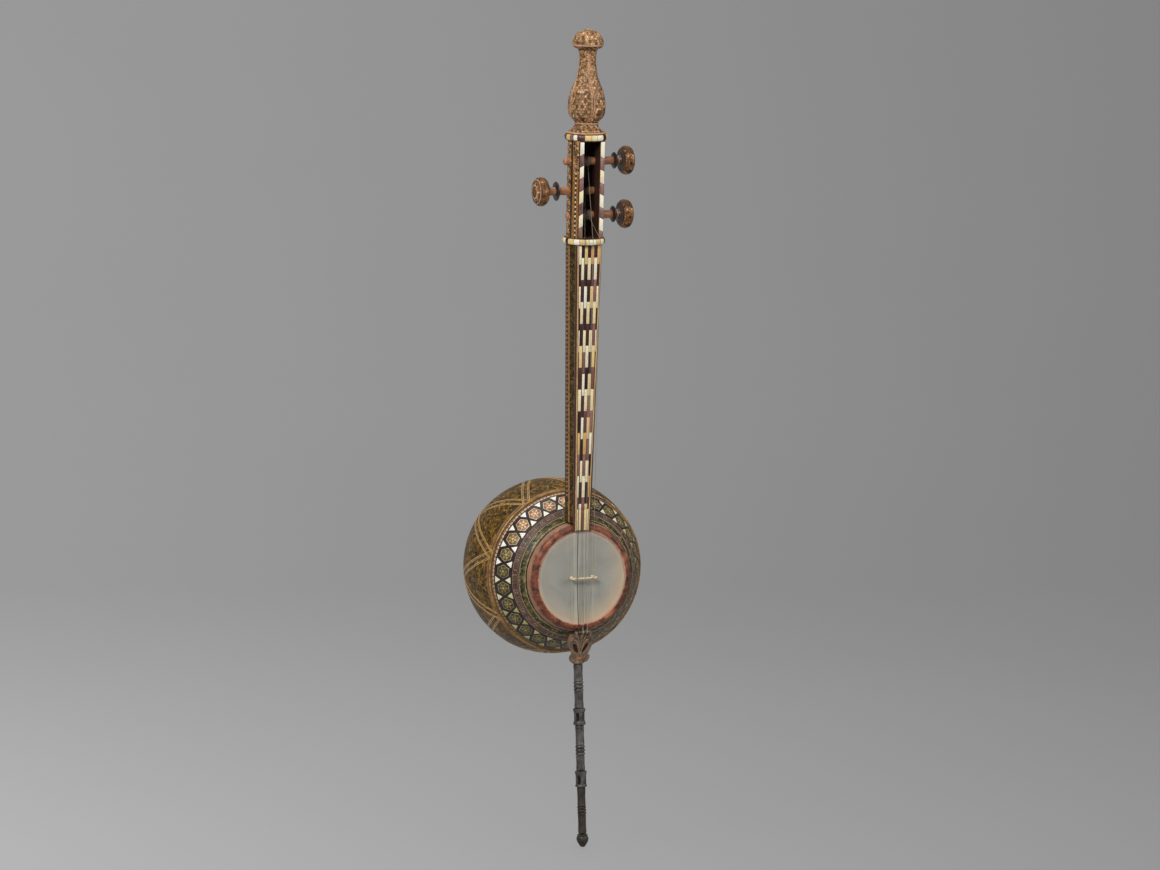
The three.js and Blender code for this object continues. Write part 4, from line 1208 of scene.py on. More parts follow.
COLLAR_RADIUS = 23.3
COLLAR_FROM = 157.0
CROWN_BLOCKS = [(24, "dark"), (18, "gold"), (12, "purple"), (12, "white"), (21, "maroon"), (19, "gold"),
                (17, "pink"), (21, "white"), (16, "dark"), (20, "gold"), (15, "white"), (19, "maroon"),
                (18, "gold"), (14, "dark"), (19, "white"), (17, "purple"), (18, "gold"), (22, "pink"),
                (19, "maroon"), (19, "white")]
NUT_BLOCKS = [(17, "gold"), (14, "white"), (11, "dark"), (20, "gold"), (17, "white"), (9, "gold"),
              (18, "pink"), (19, "white"), (17, "gold"), (18, "white"), (14, "dark"), (20, "gold"),
              (19, "white"), (18, "pink"), (14, "maroon"), (21, "gold"), (19, "white"), (17, "dark"),
              (19, "gold"), (20, "white"), (19, "pink")]
BLOCK_LOOK = {"dark": (2, 0.5), "purple": (5, 0.5), "maroon": (6, 0.5), "gold": (3, 0.3),
              "pink": (3, 0.6), "white": (3, 0.9)}


def build_collar(name, at, node, pattern):
    shape = Shape()
    half = 3.35
    profile = [(16.6, at - half), (21.2, at - half)]
    profile += [(COLLAR_RADIUS - 1.4 + 1.1 * math.cos(t),
                 at + (half - 0.4) * math.sin(t)) for t in [rad(-75 + 150 * k / 8) for k in range(9)]]
    profile += [(21.2, at + half), (16.6, at + half)]
    shape.lathe(NECK, profile, 96, 90, 1, close=True)
    total = sum(wide for wide, _ in pattern)
    turned = COLLAR_FROM
    for wide, kind in pattern:
        wide = wide * 360 / total
        arc = [turned + 0.5 + (wide - 1.0) * i / 5 for i in range(6)]
        turned += wide
        mat, tone = BLOCK_LOOK[kind]
        rings = []
        for turn in arc:
            t = rad(turn)
            ring = []
            for q in range(9):
                w = rad(-82 + 164 * q / 8)
                r = COLLAR_RADIUS - 1.35 + 1.3 * math.cos(w)
                ring.append(NECK(r * math.cos(t), r * math.sin(t), at + (half - 0.35) * math.sin(w)))
            ring.append(NECK(21 * math.cos(t), 21 * math.sin(t), at + half - 0.4))
            ring.append(NECK(21 * math.cos(t), 21 * math.sin(t), at - half + 0.4))
            rings.append(ring)
        shape.sweep(rings, 0.4, mat, clamp(tone + rng.uniform(-0.12, 0.1)))
    for h, r in ((at + half - 0.15, 21.9), (at - half + 0.15, 21.9)):
        band_profile = [(r - 1.5, h - 0.15), (r, h - 0.15), (r + 0.15, h), (r, h + 0.15),
                        (r - 1.5, h + 0.15)]
        shape.lathe(NECK, band_profile, 96, 90, 0, close=True)
    piece(name, shape, [EDGING, WALNUT, EBONY, IVORY, GOLD_BEAD, PURPLE, MAROON], replaces=[node],
          smooth=50)


TROUGH_HALF = 9.5
TROUGH_BACK = 9.0


def build_pegbox():
    points = section(BOX_SIZE, -BOX_SIZE["front"])
    half = points[0][0]
    run = girths(points)
    middle = run[-1] / 2
    shape = Shape()
    stations = [lerp(BOX_FROM, BOX_TO, i / 20) for i in range(21)]
    cell = 2.7
    rows = [[NECK(x, y, s) for x, y in points] for s in stations]
    shape.grid(rows, lambda i, j: ((run[j] - middle) / cell, stations[i] / cell), wrap=False)
    front = -BOX_SIZE["front"]
    inner = [(-half, front), (-TROUGH_HALF, front), (-TROUGH_HALF, TROUGH_BACK - 2),
             (-TROUGH_HALF + 2, TROUGH_BACK), (TROUGH_HALF - 2, TROUGH_BACK),
             (TROUGH_HALF, TROUGH_BACK - 2), (TROUGH_HALF, front), (half, front)]
    rows = [[NECK(x, y, s) for x, y in inner] for s in stations]
    shape.grid(rows, lambda i, j: (j * 3, stations[i] / 3), 1, wrap=False)
    for s in (BOX_FROM, BOX_TO):
        ring = [NECK(x, y, s) for x, y in points]
        ring += [NECK(x, y, s) for x, y in inner[1:-1]]
        order = ring if s == BOX_TO else ring[::-1]
        shape.face(order, [(0, 0)] * len(ring), 1)
    ends = ((-9.6, front), (9.6, front), (9.6, 9.1), (-9.6, 9.1))
    for s0, s1 in ((BOX_FROM, BOX_FROM + 0.9), (BOX_TO - 0.9, BOX_TO)):
        plate = [[NECK(x, y, s) for x, y in ends] for s in (s0, s1)]
        shape.sweep(plate, 0.4, 1)
    shape.lathe(NECK, [(0.01, TOP + 0.3), (16, TOP + 0.3), (16, BOX_FROM + 0.5), (0.01, BOX_FROM + 0.5)],
                48, 50, 1)
    shape.lathe(NECK, [(0.01, BOX_TO - 0.5), (16, BOX_TO - 0.5), (16, 487.0), (0.01, 487.0)], 48, 50, 1)
    piece("pegbox_body", shape, [KHATAM_PEGBOX, INTERIOR], replaces=["pegbox"], smooth=35)

    trim = Shape()
    box = dict(BOX_SIZE, start=-BOX_SIZE["front"])
    low_s = BOX_FROM + 0.3
    high_s = BOX_TO - 0.3
    change = 446.0
    for ends, span, lift, mat in (
        ((low_s, high_s), ((0.01, 0), (0.05, 0)), 0.15, 0),
        ((low_s, high_s), ((0.86, 0), (1, 0.06)), 0.14, 2),
        ((low_s, high_s), ((0.79, 0), (0.84, 0)), 0.2, 1),
        ((low_s, change), ((0.54, 0), (0.77, 0)), 0.16, 5),
        ((low_s, change), ((0.07, 0), (0.27, 0)), 0.16, 5),
        ((low_s, change), ((0.29, 0), (0.52, 0)), 0.1, 0),
    ):
        side_strip(trim, [box, box], ends, span, lift, mat)
    corner = Vector((points[0][0], points[0][1]))
    edge = (Vector(points[5]) - corner).normalized()
    outward = Vector((-edge.y, edge.x)) * -1
    for sign in (-1, 1):
        def on_side(d, lift, s, sign=sign):
            p = corner + edge * d + outward * lift
            return NECK(sign * p.x, p.y, s)

        s = BOX_FROM + 3.4
        while s < BOX_TO - 2:
            base = on_side(4.85, -0.25, s)
            out = (on_side(4.85, 0.75, s) - base).normalized()
            axes = Axes(base, NECK.z, out.cross(NECK.z), out)
            if s < change:
                dome = [(1.3, 0.0), (1.3, 0.4), (1.0, 0.8), (0.5, 1.02), (0.01, 1.1)]
                trim.lathe(axes, dome, 12, 6, 3, 0.3 + 0.7 * rng.random())
            else:
                dome = [(0.9, 0.0), (0.9, 0.3), (0.5, 0.42), (0.01, 0.45)]
                trim.lathe(axes, dome, 10, 6, 2, 0.5)
            s += 5.1
    piece("pegbox_lines", trim, [WALNUT, EDGING, EBONY, BONE, GOLD_BEAD, ORANGE_BAND],
          smooth=50)


CHEEK_LEFT = [(479.2, 465.0), (452.0, 440.0), (425.6, 413.0), (400.0, 387.0)]
CHEEK_RIGHT = [(479.2, 461.6), (447.2, 433.8), (421.0, 407.6), (395.6, 382.5)]


def build_cheeks():
    front = -BOX_SIZE["front"] - 0.05

    def place(x, s, height):
        return NECK(x, front - height, s)

    for name, sign, node in (("cheek_blocks_left", -1, "cheek_strip_left"),
                             ("cheek_blocks_right", 1, "cheek_strip_right")):
        shape = Shape()
        inner = sign * (TROUGH_HALF + 0.05)
        outer = sign * 14.25
        base = [(inner, BOX_FROM + 0.4), (outer, BOX_FROM + 0.4), (outer, BOX_TO - 0.4),
                (inner, BOX_TO - 0.4)]
        shape.tile(place, base, 0.0, 0.75, 0.05, 0)
        x0 = inner + sign * 0.25
        x1 = outer - sign * 0.15
        slant = 2.2
        spans = CHEEK_LEFT if sign < 0 else CHEEK_RIGHT
        for k, (high, low) in enumerate(spans):
            nxt = spans[k + 1][0] if k < 3 else BOX_FROM + 0.6
            lift = slant if k else 0.0
            ivory = [(x0, low + slant), (x1, low), (x1, high), (x0, min(high + lift, BOX_TO - 0.7))]
            shape.tile(place, ivory, 0.3, 1.38, 0.12, 1, clamp(0.8 + rng.uniform(-0.15, 0.2)), 0.5)
            under = nxt + (slant if k < 3 else 0.0)
            wood = [(x0, under + 0.25), (x1, nxt + 0.25), (x1, low - 0.25), (x0, low + slant - 0.25)]
            shape.tile(place, wood, 0.3, 1.32, 0.12, 2, 0.5, 0.5)
        piece(name, shape, [EDGING, IVORY, PURPLE], replaces=[node])


# ---- finial ----
FINIAL = [(21.5, 487.4), (21.3, 488.1), (20.0, 488.9), (18.0, 489.9), (14.9, 492.6), (12.8, 496.2),
          (12.7, 498.9), (15.9, 502.1), (18.8, 505.4), (20.3, 510), (20.6, 516), (20.1, 523),
          (18.3, 531.5), (14.8, 540), (12, 548.3), (10.3, 557), (9.5, 567), (9.9, 574), (10.6, 576.5)]
CAP = [(9.8, 576.9), (12.4, 577.9), (15, 579.3), (16.6, 580.8), (17, 582.1), (16.9, 584.4), (16.3, 587),
       (14.6, 591), (10.6, 595), (5.5, 597.6), (0.02, 598.5)]


def no_twist(h):
    return 0.0


def vase_twist(h):
    """The grooves swing to one side up the throat and at the foot, in degrees."""
    throat = clamp((h - 526) / 34)
    foot = clamp((514 - h) / 14)
    return -15 * throat * throat * (3 - 2 * throat) - 16 * foot * foot


def lobed(count, depth, low, high, power=0.6, twist=no_twist):
    def radial(r, h, t):
        fade = clamp((h - low) / 6) * clamp((high - h) / 8)
        bulge = abs(math.sin(count / 2 * (t - math.pi / 2 - rad(twist(h))))) ** power
        return r * (1 - depth * fade * (1 - bulge))

    return radial


def radius_at(profile, h):
    """The radius of a turned profile at a height."""
    for (r0, h0), (r1, h1) in zip(profile, profile[1:]):
        if h0 <= h <= h1:
            return lerp(r0, r1, (h - h0) / (h1 - h0))


def build_finial():
    shape = Shape()
    profile = refine(FINIAL, 4)
    lobes = lobed(4, 0.15, 497, 577, 0.5, vase_twist)
    shape.lathe(NECK, profile, 128, 40, 0, radial=lobes)
    for h in (487.4, 576.5):
        r = 21.5 if h < 500 else 10.6
        shape.lathe(NECK, [(0.01, h), (r, h)], 128, 40, 1)
    foot_ring = [(20.4, 487.35), (21.7, 487.6), (21.9, 488.2), (21.4, 488.9), (20.2, 489.0)]
    shape.lathe(NECK, foot_ring, 128, 160, 1, 0.6, close=True)
    waist = [(12.3, 497.2), (13.3, 497.3), (13.8, 497.9), (13.4, 498.6), (12.3, 498.7)]
    shape.lathe(NECK, waist, 96, 100, 1, 0.6, close=True)
    for corner in range(4):
        for off in (-7.5, -3.0, 0.0, 3.0, 7.5):
            rings = []
            for i in range(41):
                s = lerp(500.5, 573, i / 40)
                r = radius_at(profile, s)
                spread = off * (0.75 + 0.35 * math.sin(math.pi * i / 40))
                t = rad(90 * corner + 90 + spread + vase_twist(s))
                rr = lobes(r, s, t)
                ring = []
                for w in shares(6):
                    side = 0.42 * math.cos(w) / max(rr, 4)
                    out = rr + 0.05 + 0.36 * math.sin(w)
                    ring.append(NECK(out * math.cos(t + side), out * math.sin(t + side), s))
                rings.append(ring)
            shape.sweep(rings, 0.4, 2 if off == 0 else 1, 0.75 if abs(off) < 5 else 0.3)
    piece("finial_vase", shape, [KHATAM_FINIAL, FINIAL_LINE, EBONY], replaces=["finial_body"],
          smooth=50)

    shape = Shape()
    shape.lathe(NECK, refine(CAP, 4), 128, 34, 0, radial=lobed(8, 0.09, 574, 602, 0.7))
    shape.lathe(NECK, [(0.01, 576.9), (9.8, 576.9)], 128, 34, 1, radial=lobed(8, 0.09, 574, 602, 0.7))
    shape.lathe(NECK, [(15.4, 580.6), (16.9, 581.0), (17.2, 581.9), (16.9, 582.8), (15.4, 583.0)], 128,
                160, 1, 0.5, close=True, radial=lobed(8, 0.085, 574, 602, 0.7))
    shape.lathe(NECK, [(3.2, 597.8), (3.5, 598.4), (2.6, 598.7), (1.2, 598.8), (0.01, 598.8)], 48, 20, 1,
                0.7)
    shape.lathe(NECK, [(0.01, 570), (4, 570), (4, 577), (0.01, 577)], 24, 10, 1)
    piece("finial_crown", shape, [KHATAM_FINIAL, FINIAL_LINE], replaces=["finial_cap"],
          smooth=50)





# ---- pegs ----
COLLAR_BORE = 4.6
HEAD_DEPTH = 1.14  # how much deeper the turned heads are than their profile
WINDING_HALF = 3.7


def build_peg(number, peg):
    body = f"peg_{number}"
    side = peg["side"]
    axes = Axes(JOINT_AT[body], NECK.y * side, NECK.z, NECK.x * side)
    # x cross y is the peg's own axis, out of the pegbox on the head's side
    neck = peg["head"] - 9
    shape = Shape()
    shaft = [(0.01, -peg["tip"]), (2.4, -peg["tip"]), (3.4, -peg["tip"] + 0.5), (3.9, -peg["tip"] + 1.5),
             (4.15, -peg["tip"] + 3.4), (4.3, 0), (4.45, 18), (4.5, 24), (4.3, 27.5), (4.5, 29),
             (4.45, 31), (4.45, neck - 3.2), (4.3, neck - 2.2), (5.0, neck - 1.2), (5.3, neck - 0.4),
             (3.0, neck - 0.35), (3.0, neck + 8), (0.01, neck + 8)]
    shape.lathe(axes, shaft, 40, 26, 0)
    piece(f"{body}_stem", shape, [PEG_WOOD], body, [f"{body}_shaft"], 40)

    shape = Shape()
    collar = [(4.6, 31.6), (5.6, 31.8), (7.6, 32.6), (8.7, 33.1), (9.0, 33.5), (8.7, 34.0), (7.4, 34.1),
              (5.8, 34.5), (4.9, 35.3), (4.6, 35.4)]
    wider = (peg["collar"] - COLLAR_BORE) / (9.0 - COLLAR_BORE)
    shape.lathe(axes, [(COLLAR_BORE + (r - COLLAR_BORE) * wider, h) for r, h in collar], 48, 40, 0,
                close=True)
    piece(f"{body}_disc", shape, [EBONY], body, [f"{body}_collar"], 40)

    shape = Shape()
    at = peg["head"]
    head = [(3.3, -7.9), (5.2, -7.9), (5.7, -7.3), (6.1, -6.5), (7.4, -6.2), (8.9, -6.0), (9.5, -5.4),
            (10.3, -5.55), (11.6, -5.45), (13.0, -4.9), (13.7, -4.2), (14.9, -3.0), (15.5, -1.6),
            (15.7, 0.0), (15.5, 1.5), (14.8, 3.0), (13.5, 4.2), (12.6, 4.6), (11.9, 4.35), (11.2, 4.5),
            (9.8, 5.3), (7.9, 5.95), (6.2, 6.25), (5.5, 6.0), (4.9, 6.35), (3.2, 7.05), (1.5, 7.28),
            (0.01, 7.3)]
    kinds = {i: 1 for i in range(0, 9)}
    kinds.update({16: 2, 17: 1, 21: 2, 22: 1})
    shape.lathe(axes, [(r, at + h * HEAD_DEPTH) for r, h in head], 64, 30, lambda i, j: kinds.get(i, 0))
    shape.lathe(axes, [(3.3, at - 7.9 * HEAD_DEPTH), (3.3, at + 1), (0.01, at + 1)], 32, 10, 1)
    petals = 8
    for k in range(petals):
        t = TAU * k / petals
        rings = []
        for i in range(7):
            r = lerp(6.6, 10.8, i / 6)
            wide = 1.35 * math.sin(math.pi * (0.08 + 0.84 * i / 6))
            lift = at + (6.28 - 0.052 * (r - 6.2) ** 2 - 0.13 * (r - 6.2)) * HEAD_DEPTH
            ring = []
            for w in shares(6):
                a = t + wide * math.cos(w) / r
                ring.append(axes(r * math.cos(a), r * math.sin(a), lift + 0.22 * math.sin(w)))
            rings.append(ring)
        shape.sweep(rings, 0.4, 2, 0.35 + 0.5 * rng.random())
    piece(f"{body}_knob", shape, [KHATAM_KNOB, KNOB_DARK, FINIAL_LINE], body, [f"{body}_head"],
          50)

    shape = Shape()
    middle = side * peg["winding"]
    turns = 8
    path = []
    steps = 26
    lead = math.pi  # the string leaves towards the belly
    for i in range(turns * steps + 1):
        t = TAU * i / steps
        h = middle - 3.4 + 6.8 * i / (turns * steps)
        layer = 5.15 + 0.3 * math.sin(0.37 * i) * math.sin(0.11 * i)
        a = lead * side + t * side
        path.append(axes(layer * math.cos(a), layer * math.sin(a), h))
    shape.tube(path, 0.36, 7, uv_scale=1.4)
    # The second layer stays clear of the turn where the string leaves, at any angle of the peg.
    path = []
    for i in range(31):
        t = TAU * i / 20
        h = middle + 3.1 - 1.9 * i / 30
        path.append(axes(5.72 * math.cos(t + 1), 5.72 * math.sin(t + 1), h))
    shape.tube(path, 0.38, 7, uv_scale=1.4)
    low = middle - WINDING_HALF
    high = middle + WINDING_HALF
    sleeve = [(4.5, low), (5.1, low), (5.1, high), (4.5, high)]
    shape.lathe(axes, sleeve, 32, 20, 0, close=True)
    cord = STEEL if number == 2 else GUT
    piece(f"{body}_coil", shape, [cord], body, [f"{body}_winding"],
          60)


# ---- strings and tail ----
STRINGS = [
    dict(peg=1, nut=-9.0, bridge=-9.5, tail=-5.0),
    dict(peg=0, nut=0.6, bridge=0.0, tail=0.0),
    dict(peg=2, nut=9.0, bridge=9.5, tail=5.0),
]
STRING = 0.4
NUT_Y = -24.4
NUT_S = 371.9


def between(a, b, count):
    return [a.lerp(b, i / count) for i in range(count)]


def build_strings():
    low, high = node_box("bridge")
    pin = node_centre("hitch_pin")
    for i, string in enumerate(STRINGS):
        peg = PEGS[string["peg"]]
        start = NECK(peg["winding"], -5.9, peg["at"])
        over = [NECK(string["nut"] * 0.98, NUT_Y + 1, NUT_S + 3.6), NECK(string["nut"], NUT_Y, NUT_S)]
        crest = Vector((string["bridge"], low.y - STRING - 0.05, (low.z + high.z) / 2))
        tail = Vector((string["tail"], pin.y, pin.z + 2.45))
        path = between(start, over[0], 6) + between(over[0], over[1], 3)
        path += between(over[1], crest, 24) + between(crest, tail, 8) + [tail]
        shape = Shape()
        dark = i == 0
        radius = 0.4 if dark else 0.24
        shape.tube(path, radius, 8, 0, 0.5, 1.6)
        turns = 5
        wrap = []
        for k in range(turns * 10 + 1):
            share = k / (turns * 10)
            p = tail.lerp(crest, 0.006 + 0.03 * share)
            a = TAU * k / 10
            wrap.append(p + Vector((0.55 * math.cos(a), 0.55 * math.sin(a), 0)))
        shape.tube(wrap, 0.2, 6, 0, 0.5, 1.6)
        mat = STEEL if dark else GUT
        piece(f"cord_{i + 1}", shape, [mat], replaces=[f"string_{i + 1}"], smooth=60)
        knot = Shape()
        for radius, shift in ((1.9, 0.0), (1.75, 0.5), (1.75, -0.5)):
            loop = []
            for k in range(25):
                a = TAU * k / 24
                loop.append(Vector((string["tail"] + shift + 0.1 * math.sin(3 * a),
                                    pin.y + radius * math.cos(a), pin.z + radius * math.sin(a))))
            knot.tube(loop, 0.42, 7, 0, 0.5, 1.6)
        node = f"string_knot_{i + 1}"
        piece(f"loop_{i + 1}", knot, [mat], replaces=[node], smooth=60)


PLATE_LEAN = 14.0
PLATE = Axes((0, 12.4, 206), (1, 0, 0), (0, math.cos(rad(PLATE_LEAN)), math.sin(rad(PLATE_LEAN))),
             (0, -math.sin(rad(PLATE_LEAN)), math.cos(rad(PLATE_LEAN))))
LEAF_FOOT = (5.5, -1.0)
LEAF = [(9, 1, 10.6, 5.5), (11.4, 8.6, 8.8, 9.4), (10.2, 15, 14.8, 21.6), (16.6, 27, 12.6, 33.4),
        (8.6, 35.4, 6.8, 32.8), (5.8, 38.6, 0, 34.6)]


def bows(start, legs, side=1, steps=6):
    """Curves joined end to end. Each leg is a control point and an end point."""
    points = [start]
    for bx, bz, ex, ez in legs:
        sx, sz = points[-1]
        for k in range(1, steps + 1):
            t = k / steps
            x = (1 - t) ** 2 * sx + 2 * t * (1 - t) * side * bx + t * t * side * ex
            points.append((x, (1 - t) ** 2 * sz + 2 * t * (1 - t) * bz + t * t * ez))
    return points


def leaf_outline():
    right = bows(LEAF_FOOT, LEAF)
    return right + [(-x, z) for x, z in right[-2::-1]]


def leaf_eye(side, grow=0.0):
    start = (side * (1.9 - grow), 11.0 - grow)
    outer = (9.0 + grow, 13.6 - grow, 9.3 + grow, 23.2 + grow)
    inner = (3.0 - grow, 22.4 + grow, 1.9 - grow, 11.0 - grow)
    return bows(start, (outer, inner), side)[:-1]


def raised(shape, path, side, lift, steps, sides, mat):
    """Raised work on the plate. The path's points are (x, z, radius)."""
    points = refine(path, steps)
    route = [PLATE(side * x, -lift, z) for x, z, radius in points]
    shape.tube(route, [radius for x, z, radius in points], sides, mat)


def build_bracket():
    curve = bpy.data.curves.new("palmette", "CURVE")
    curve.dimensions = "2D"
    curve.fill_mode = "BOTH"
    curve.extrude = 1.15
    curve.bevel_depth = 0.7
    curve.bevel_resolution = 3
    curve.offset = -0.7
    for outline in (leaf_outline(), leaf_eye(-1), leaf_eye(1)):
        spline = curve.splines.new("POLY")
        spline.points.add(len(outline) - 1)
        for point, (x, z) in zip(spline.points, outline):
            point.co = (x, z, 0, 1)
        spline.use_cyclic_u = True
    holder = put("palmette", curve)
    bpy.context.view_layer.update()
    flat = bpy.data.meshes.new_from_object(holder.evaluated_get(bpy.context.evaluated_depsgraph_get()))
    bpy.data.objects.remove(holder)
    shape = Shape()
    corners = []
    for v in flat.vertices:
        x, z, y = v.co
        crown = 0.5 * math.cos(clamp(abs(x) / 15) * math.pi) * clamp(z / 10)
        corners.append(PLATE(x, -y - crown * 0.5 - 0.1, z))
    base = len(shape.points)
    shape.points.extend(corners)
    for facet in flat.polygons:
        ids = [base + i for i in facet.vertices]
        shape.faces.append((ids, [(corners[i - base].x * 0.3, corners[i - base].z * 0.3) for i in ids], 0,
                            0.5))
    bpy.data.meshes.remove(flat)

    # A dark red plate behind each eye, painted shade of the hollow, and raised work: side lobes, a fork
    # between them and horns.
    def at_plate(x, z, height):
        return PLATE(x, -height, z)

    for side in (-1, 1):
        shape.tile(at_plate, leaf_eye(side, 0.5), -1.7, -0.5, 0.1, 1, 0.5)
        rim = [(5.0, 3.0, 1.3), (6.6, 8.0, 1.2), (9.6, 12.6, 1.2), (11.4, 17.4, 1.1), (12.6, 22.4, 1.6),
               (12.8, 26.4, 2.0), (10.8, 29.6, 2.1), (8.0, 30.2, 1.5), (6.6, 28.4, 0.6)]
        fork = [(0.7, 8.5, 0.5), (0.9, 12.0, 0.8), (2.1, 17.6, 0.9), (4.6, 24.6, 0.9), (7.8, 27.6, 0.7),
                (9.4, 26.4, 0.4)]
        horn = [(3.2, 2.4, 1.2), (6.4, 1.5, 1.6), (9.4, 2.8, 1.5), (11.3, 6.0, 1.1), (11.0, 9.0, 0.5)]
        inner = [(2.2, 25.5, 0.4), (3.6, 29.0, 0.9), (4.8, 31.6, 0.9), (4.2, 34.0, 0.4)]
        raised(shape, rim, side, 1.5, 5, 10, 0)
        raised(shape, fork, side, 1.7, 5, 10, 2)
        raised(shape, horn, side, 1.2, 5, 10, 0)
        raised(shape, inner, side, 1.7, 4, 8, 2)
    crest = [(0.0, 22.0, 0.5), (0.0, 26.0, 1.5), (0.0, 30.0, 2.6), (0.0, 33.2, 2.8), (0.0, 35.6, 1.4)]
    raised(shape, crest, 1, 1.1, 5, 14, 0)
    # The centre slot is a dark red tile: painted shade.
    slit = [(-0.75, 2.6), (0.75, 2.6), (1.0, 5.5), (0.6, 9.2), (-0.6, 9.2), (-1.0, 5.5)]
    shape.tile(at_plate, slit, 1.2, 2.15, 0.1, 1, 0.2)
    socket = [(2.8, 204.6), (5.9, 204.6), (6.5, 205.4), (6.4, 206.6), (5.6, 207.4), (5.5, 208.6),
              (6.2, 209.4), (6.1, 210.8), (5.0, 213.0), (4.4, 216.0), (4.15, 222), (4.1, 230.0),
              (3.2, 231), (2.8, 231)]
    shape.lathe(SPIKE, socket, 40, 16, 0, close=True)
    pin = node_centre("hitch_pin")
    for side in (-1, 1):
        rings = []
        for k in range(13):
            t = math.pi * k / 12
            y = pin.y + 0.2 + 2.55 * math.cos(t)
            z = pin.z - 1.6 + 2.9 * math.sin(t)
            rings.append((y, z))
        outline = [(3.0 + pin.y, 236.6)] + rings + [(pin.y - 2.3, 236.6)]
        plates = []
        for x in (side * 7.1, side * 9.3):
            plates.append([Vector((x, y, z)) for y, z in outline])
        shape.sweep(plates, 0.4)
        arm = [(7.6, pin.y + 1.5, 237.2), (7.0, 3.0, 235.5), (6.0, 5.0, 233.6)]
        shape.tube([Vector((side * x, y, z)) for x, y, z in refine(arm, 4)], 1.3, 8)
    piece("palmette_bracket", shape, [RUST, RECESS_SHADE, TAN_IRON], replaces=["tail_bracket"],
          smooth=45)

    shape = Shape()
    bar = Axes((0, pin.y, pin.z), (0, 1, 0), (0, 0, 1), (1, 0, 0))
    profile = [(0.01, -9.6), (0.8, -9.6), (1.08, -9.2), (1.02, -4), (1.08, 0), (1.02, 4), (1.08, 9.2),
               (0.8, 9.6), (0.01, 9.6)]
    shape.lathe(bar, profile, 20, 8)
    piece("hitch_bar", shape, [IRON], replaces=["hitch_pin"], smooth=50)


# ---- spike ----
def rod_profile(start, end, radius, rings_from, rings_to):
    """A plain rod that swells a little, with three turned beads between fillets."""
    out = [(0.01, start + 0.2), (radius - 0.7, start + 0.2), (radius + 0.1, start + 1.2),
           (radius + 0.05, start + 3.5), (radius - 0.25, lerp(start, rings_from, 0.5)),
           (radius - 0.1, rings_from - 1.6), (radius + 0.25, rings_from - 1.0)]
    pitch = (rings_to - rings_from) / 3
    for k in range(3):
        base = rings_from + k * pitch
        out += [(radius - 0.75, base), (radius + 0.15, base + pitch * 0.2),
                (radius + 0.45, base + pitch * 0.5), (radius + 0.15, base + pitch * 0.8),
                (radius - 0.75, base + pitch)]
    out += [(radius + 0.25, rings_to + 1.0), (radius - 0.05, rings_to + 1.8),
            (radius - 0.2, lerp(rings_to, end, 0.5)), (radius + 0.1, end - 3), (radius + 0.15, end - 1.2),
            (radius - 0.6, end - 0.1), (0.01, end - 0.1)]
    return out


def hammered(size=0.12):
    """Slightly out of round, as forged work is."""
    def radial(r, h, t):
        return r + (size * math.sin(3 * t + h * 0.21) * math.sin(h * 0.35 + 1) * 0.6 if r > 2 else 0)

    return radial


